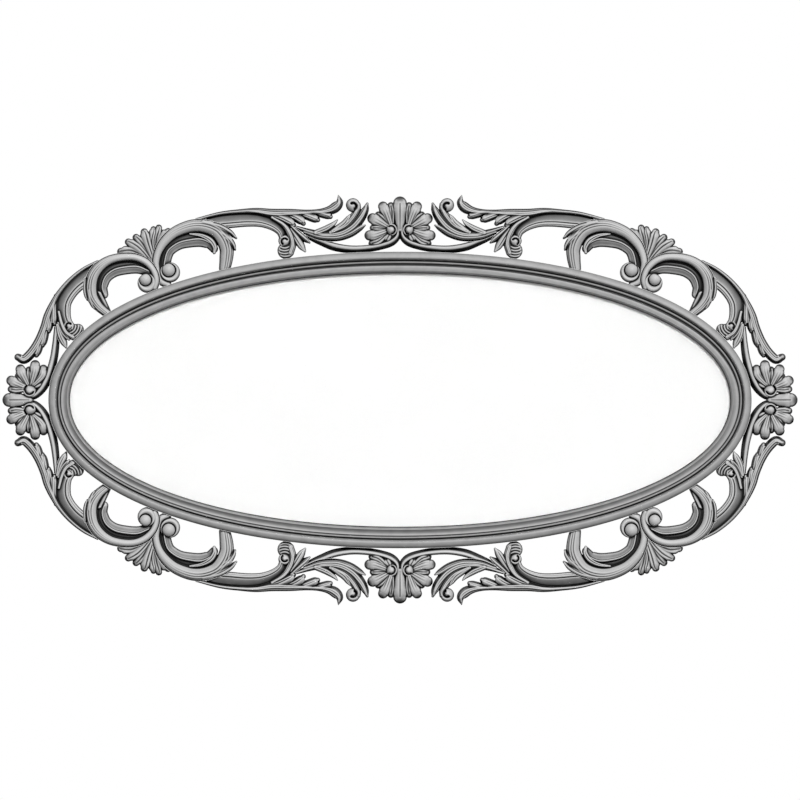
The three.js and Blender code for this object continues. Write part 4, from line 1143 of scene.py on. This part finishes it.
# Materials by how a node's name starts, the longer of two alike names first
MATERIALS = {
    "joint_key": REAR_WOOD, "glazing": GLASS, "blank_picture": CARD, "backing_board": BOARD,
    "turn_button_screw": STEEL, "turn_button": BRASS, "hanger_strap": STEEL, "hanger_ring": STEEL,
    "hanger_screw": STEEL, "bumper": RUBBER,
}
for name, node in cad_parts.items():
    for start, material in MATERIALS.items():
        if name.startswith(start):
            for slot in node.material_slots:
                slot.material = material
            break

# Floor, light and camera

FLOOR_DROP = 0.9
FLOOR_HALF = 6.0
FLOOR_LIT, FLOOR_SEEN = 0.25, 0.8
SKY_TONES = [(0.0, 0.01), (0.5, 0.03), (1.0, 0.12)]
KEY_FROM, KEY_STRENGTH, KEY_ANGLE = (0.2, -0.84, 0.5), 3.9, 7
VIEW_WIDTH, VIEW_DISTANCE = 1.2, 3

floor_mesh = bpy.data.meshes.new("floor")
floor_signs = ((-1, -1), (1, -1), (1, 1), (-1, 1))
floor_corners = [(x * FLOOR_HALF, y * FLOOR_HALF, -FLOOR_DROP) for x, y in floor_signs]
floor_mesh.from_pydata(floor_corners, [], [(0, 1, 2, 3)])
floor = bpy.data.objects.new("floor", floor_mesh)
bpy.context.scene.collection.objects.link(floor)
floor_material, floor_shader = node_material("floor", 0.9)
path = add_node(floor_material, "ShaderNodeLightPath")
floor_mix = add_node(floor_material, "ShaderNodeMix", data_type="RGBA")
floor_mix.inputs["A"].default_value = (*grey(FLOOR_LIT), 1)
floor_mix.inputs["B"].default_value = (*grey(FLOOR_SEEN), 1)
link(floor_material, path.outputs["Is Camera Ray"], floor_mix.inputs["Factor"])
link(floor_material, floor_mix.outputs["Result"], floor_shader.inputs["Base Color"])
floor_mesh.materials.append(floor_material)


def studio_world():
    """White to the camera and in reflections, with a faint sky that lights from above."""
    world = bpy.data.worlds.new("studio")
    world.use_nodes = True
    nodes, links = world.node_tree.nodes, world.node_tree.links
    nodes.clear()
    output = nodes.new("ShaderNodeOutputWorld")
    seen, sky = nodes.new("ShaderNodeBackground"), nodes.new("ShaderNodeBackground")
    mix, rays = nodes.new("ShaderNodeMixShader"), nodes.new("ShaderNodeLightPath")
    either, both = nodes.new("ShaderNodeMath"), nodes.new("ShaderNodeMath")
    either.operation = both.operation = "MAXIMUM"
    links.new(rays.outputs["Is Camera Ray"], either.inputs[0])
    links.new(rays.outputs["Is Transmission Ray"], either.inputs[1])
    links.new(either.outputs[0], both.inputs[0])
    links.new(rays.outputs["Is Glossy Ray"], both.inputs[1])
    place, axis = nodes.new("ShaderNodeTexCoord"), nodes.new("ShaderNodeSeparateXYZ")
    tone = nodes.new("ShaderNodeValToRGB")
    half = nodes.new("ShaderNodeMapRange")
    half.inputs["From Min"].default_value = -1
    links.new(place.outputs["Generated"], axis.inputs[0])
    links.new(axis.outputs["Z"], half.inputs["Value"])
    links.new(half.outputs["Result"], tone.inputs["Fac"])
    tone.color_ramp.elements.new(0.5)
    for element, (position, value) in zip(tone.color_ramp.elements, SKY_TONES):
        element.position = position
        element.color = (*grey(value), 1)
    links.new(tone.outputs["Color"], sky.inputs["Color"])
    seen.inputs["Color"].default_value = (1, 1, 1, 1)
    links.new(both.outputs[0], mix.inputs["Fac"])
    links.new(sky.outputs[0], mix.inputs[1])
    links.new(seen.outputs[0], mix.inputs[2])
    links.new(mix.outputs[0], output.inputs["Surface"])
    return world


bpy.context.scene.world = studio_world()


def sun(name, direction, strength, angle):
    """A lamp that shines from a direction."""
    data = bpy.data.lights.new(name, "SUN")
    data.energy = strength
    data.angle = math.radians(angle)
    lamp = bpy.data.objects.new(name, data)
    lamp.rotation_mode = "QUATERNION"
    lamp.rotation_quaternion = Vector(direction).to_track_quat("Z", "Y")
    lamp.location = Vector(direction).normalized() * VIEW_DISTANCE
    bpy.context.scene.collection.objects.link(lamp)


sun("key", KEY_FROM, KEY_STRENGTH, KEY_ANGLE)

camera_data = bpy.data.cameras.new("camera")
camera_data.type = "ORTHO"
camera_data.ortho_scale = VIEW_WIDTH
camera = bpy.data.objects.new("camera", camera_data)
camera.location = (0, -VIEW_DISTANCE, 0)
camera.rotation_euler = (math.pi / 2, 0, 0)
bpy.context.scene.collection.objects.link(camera)
bpy.context.scene.camera = camera
bpy.context.scene.view_settings.view_transform = "Standard"
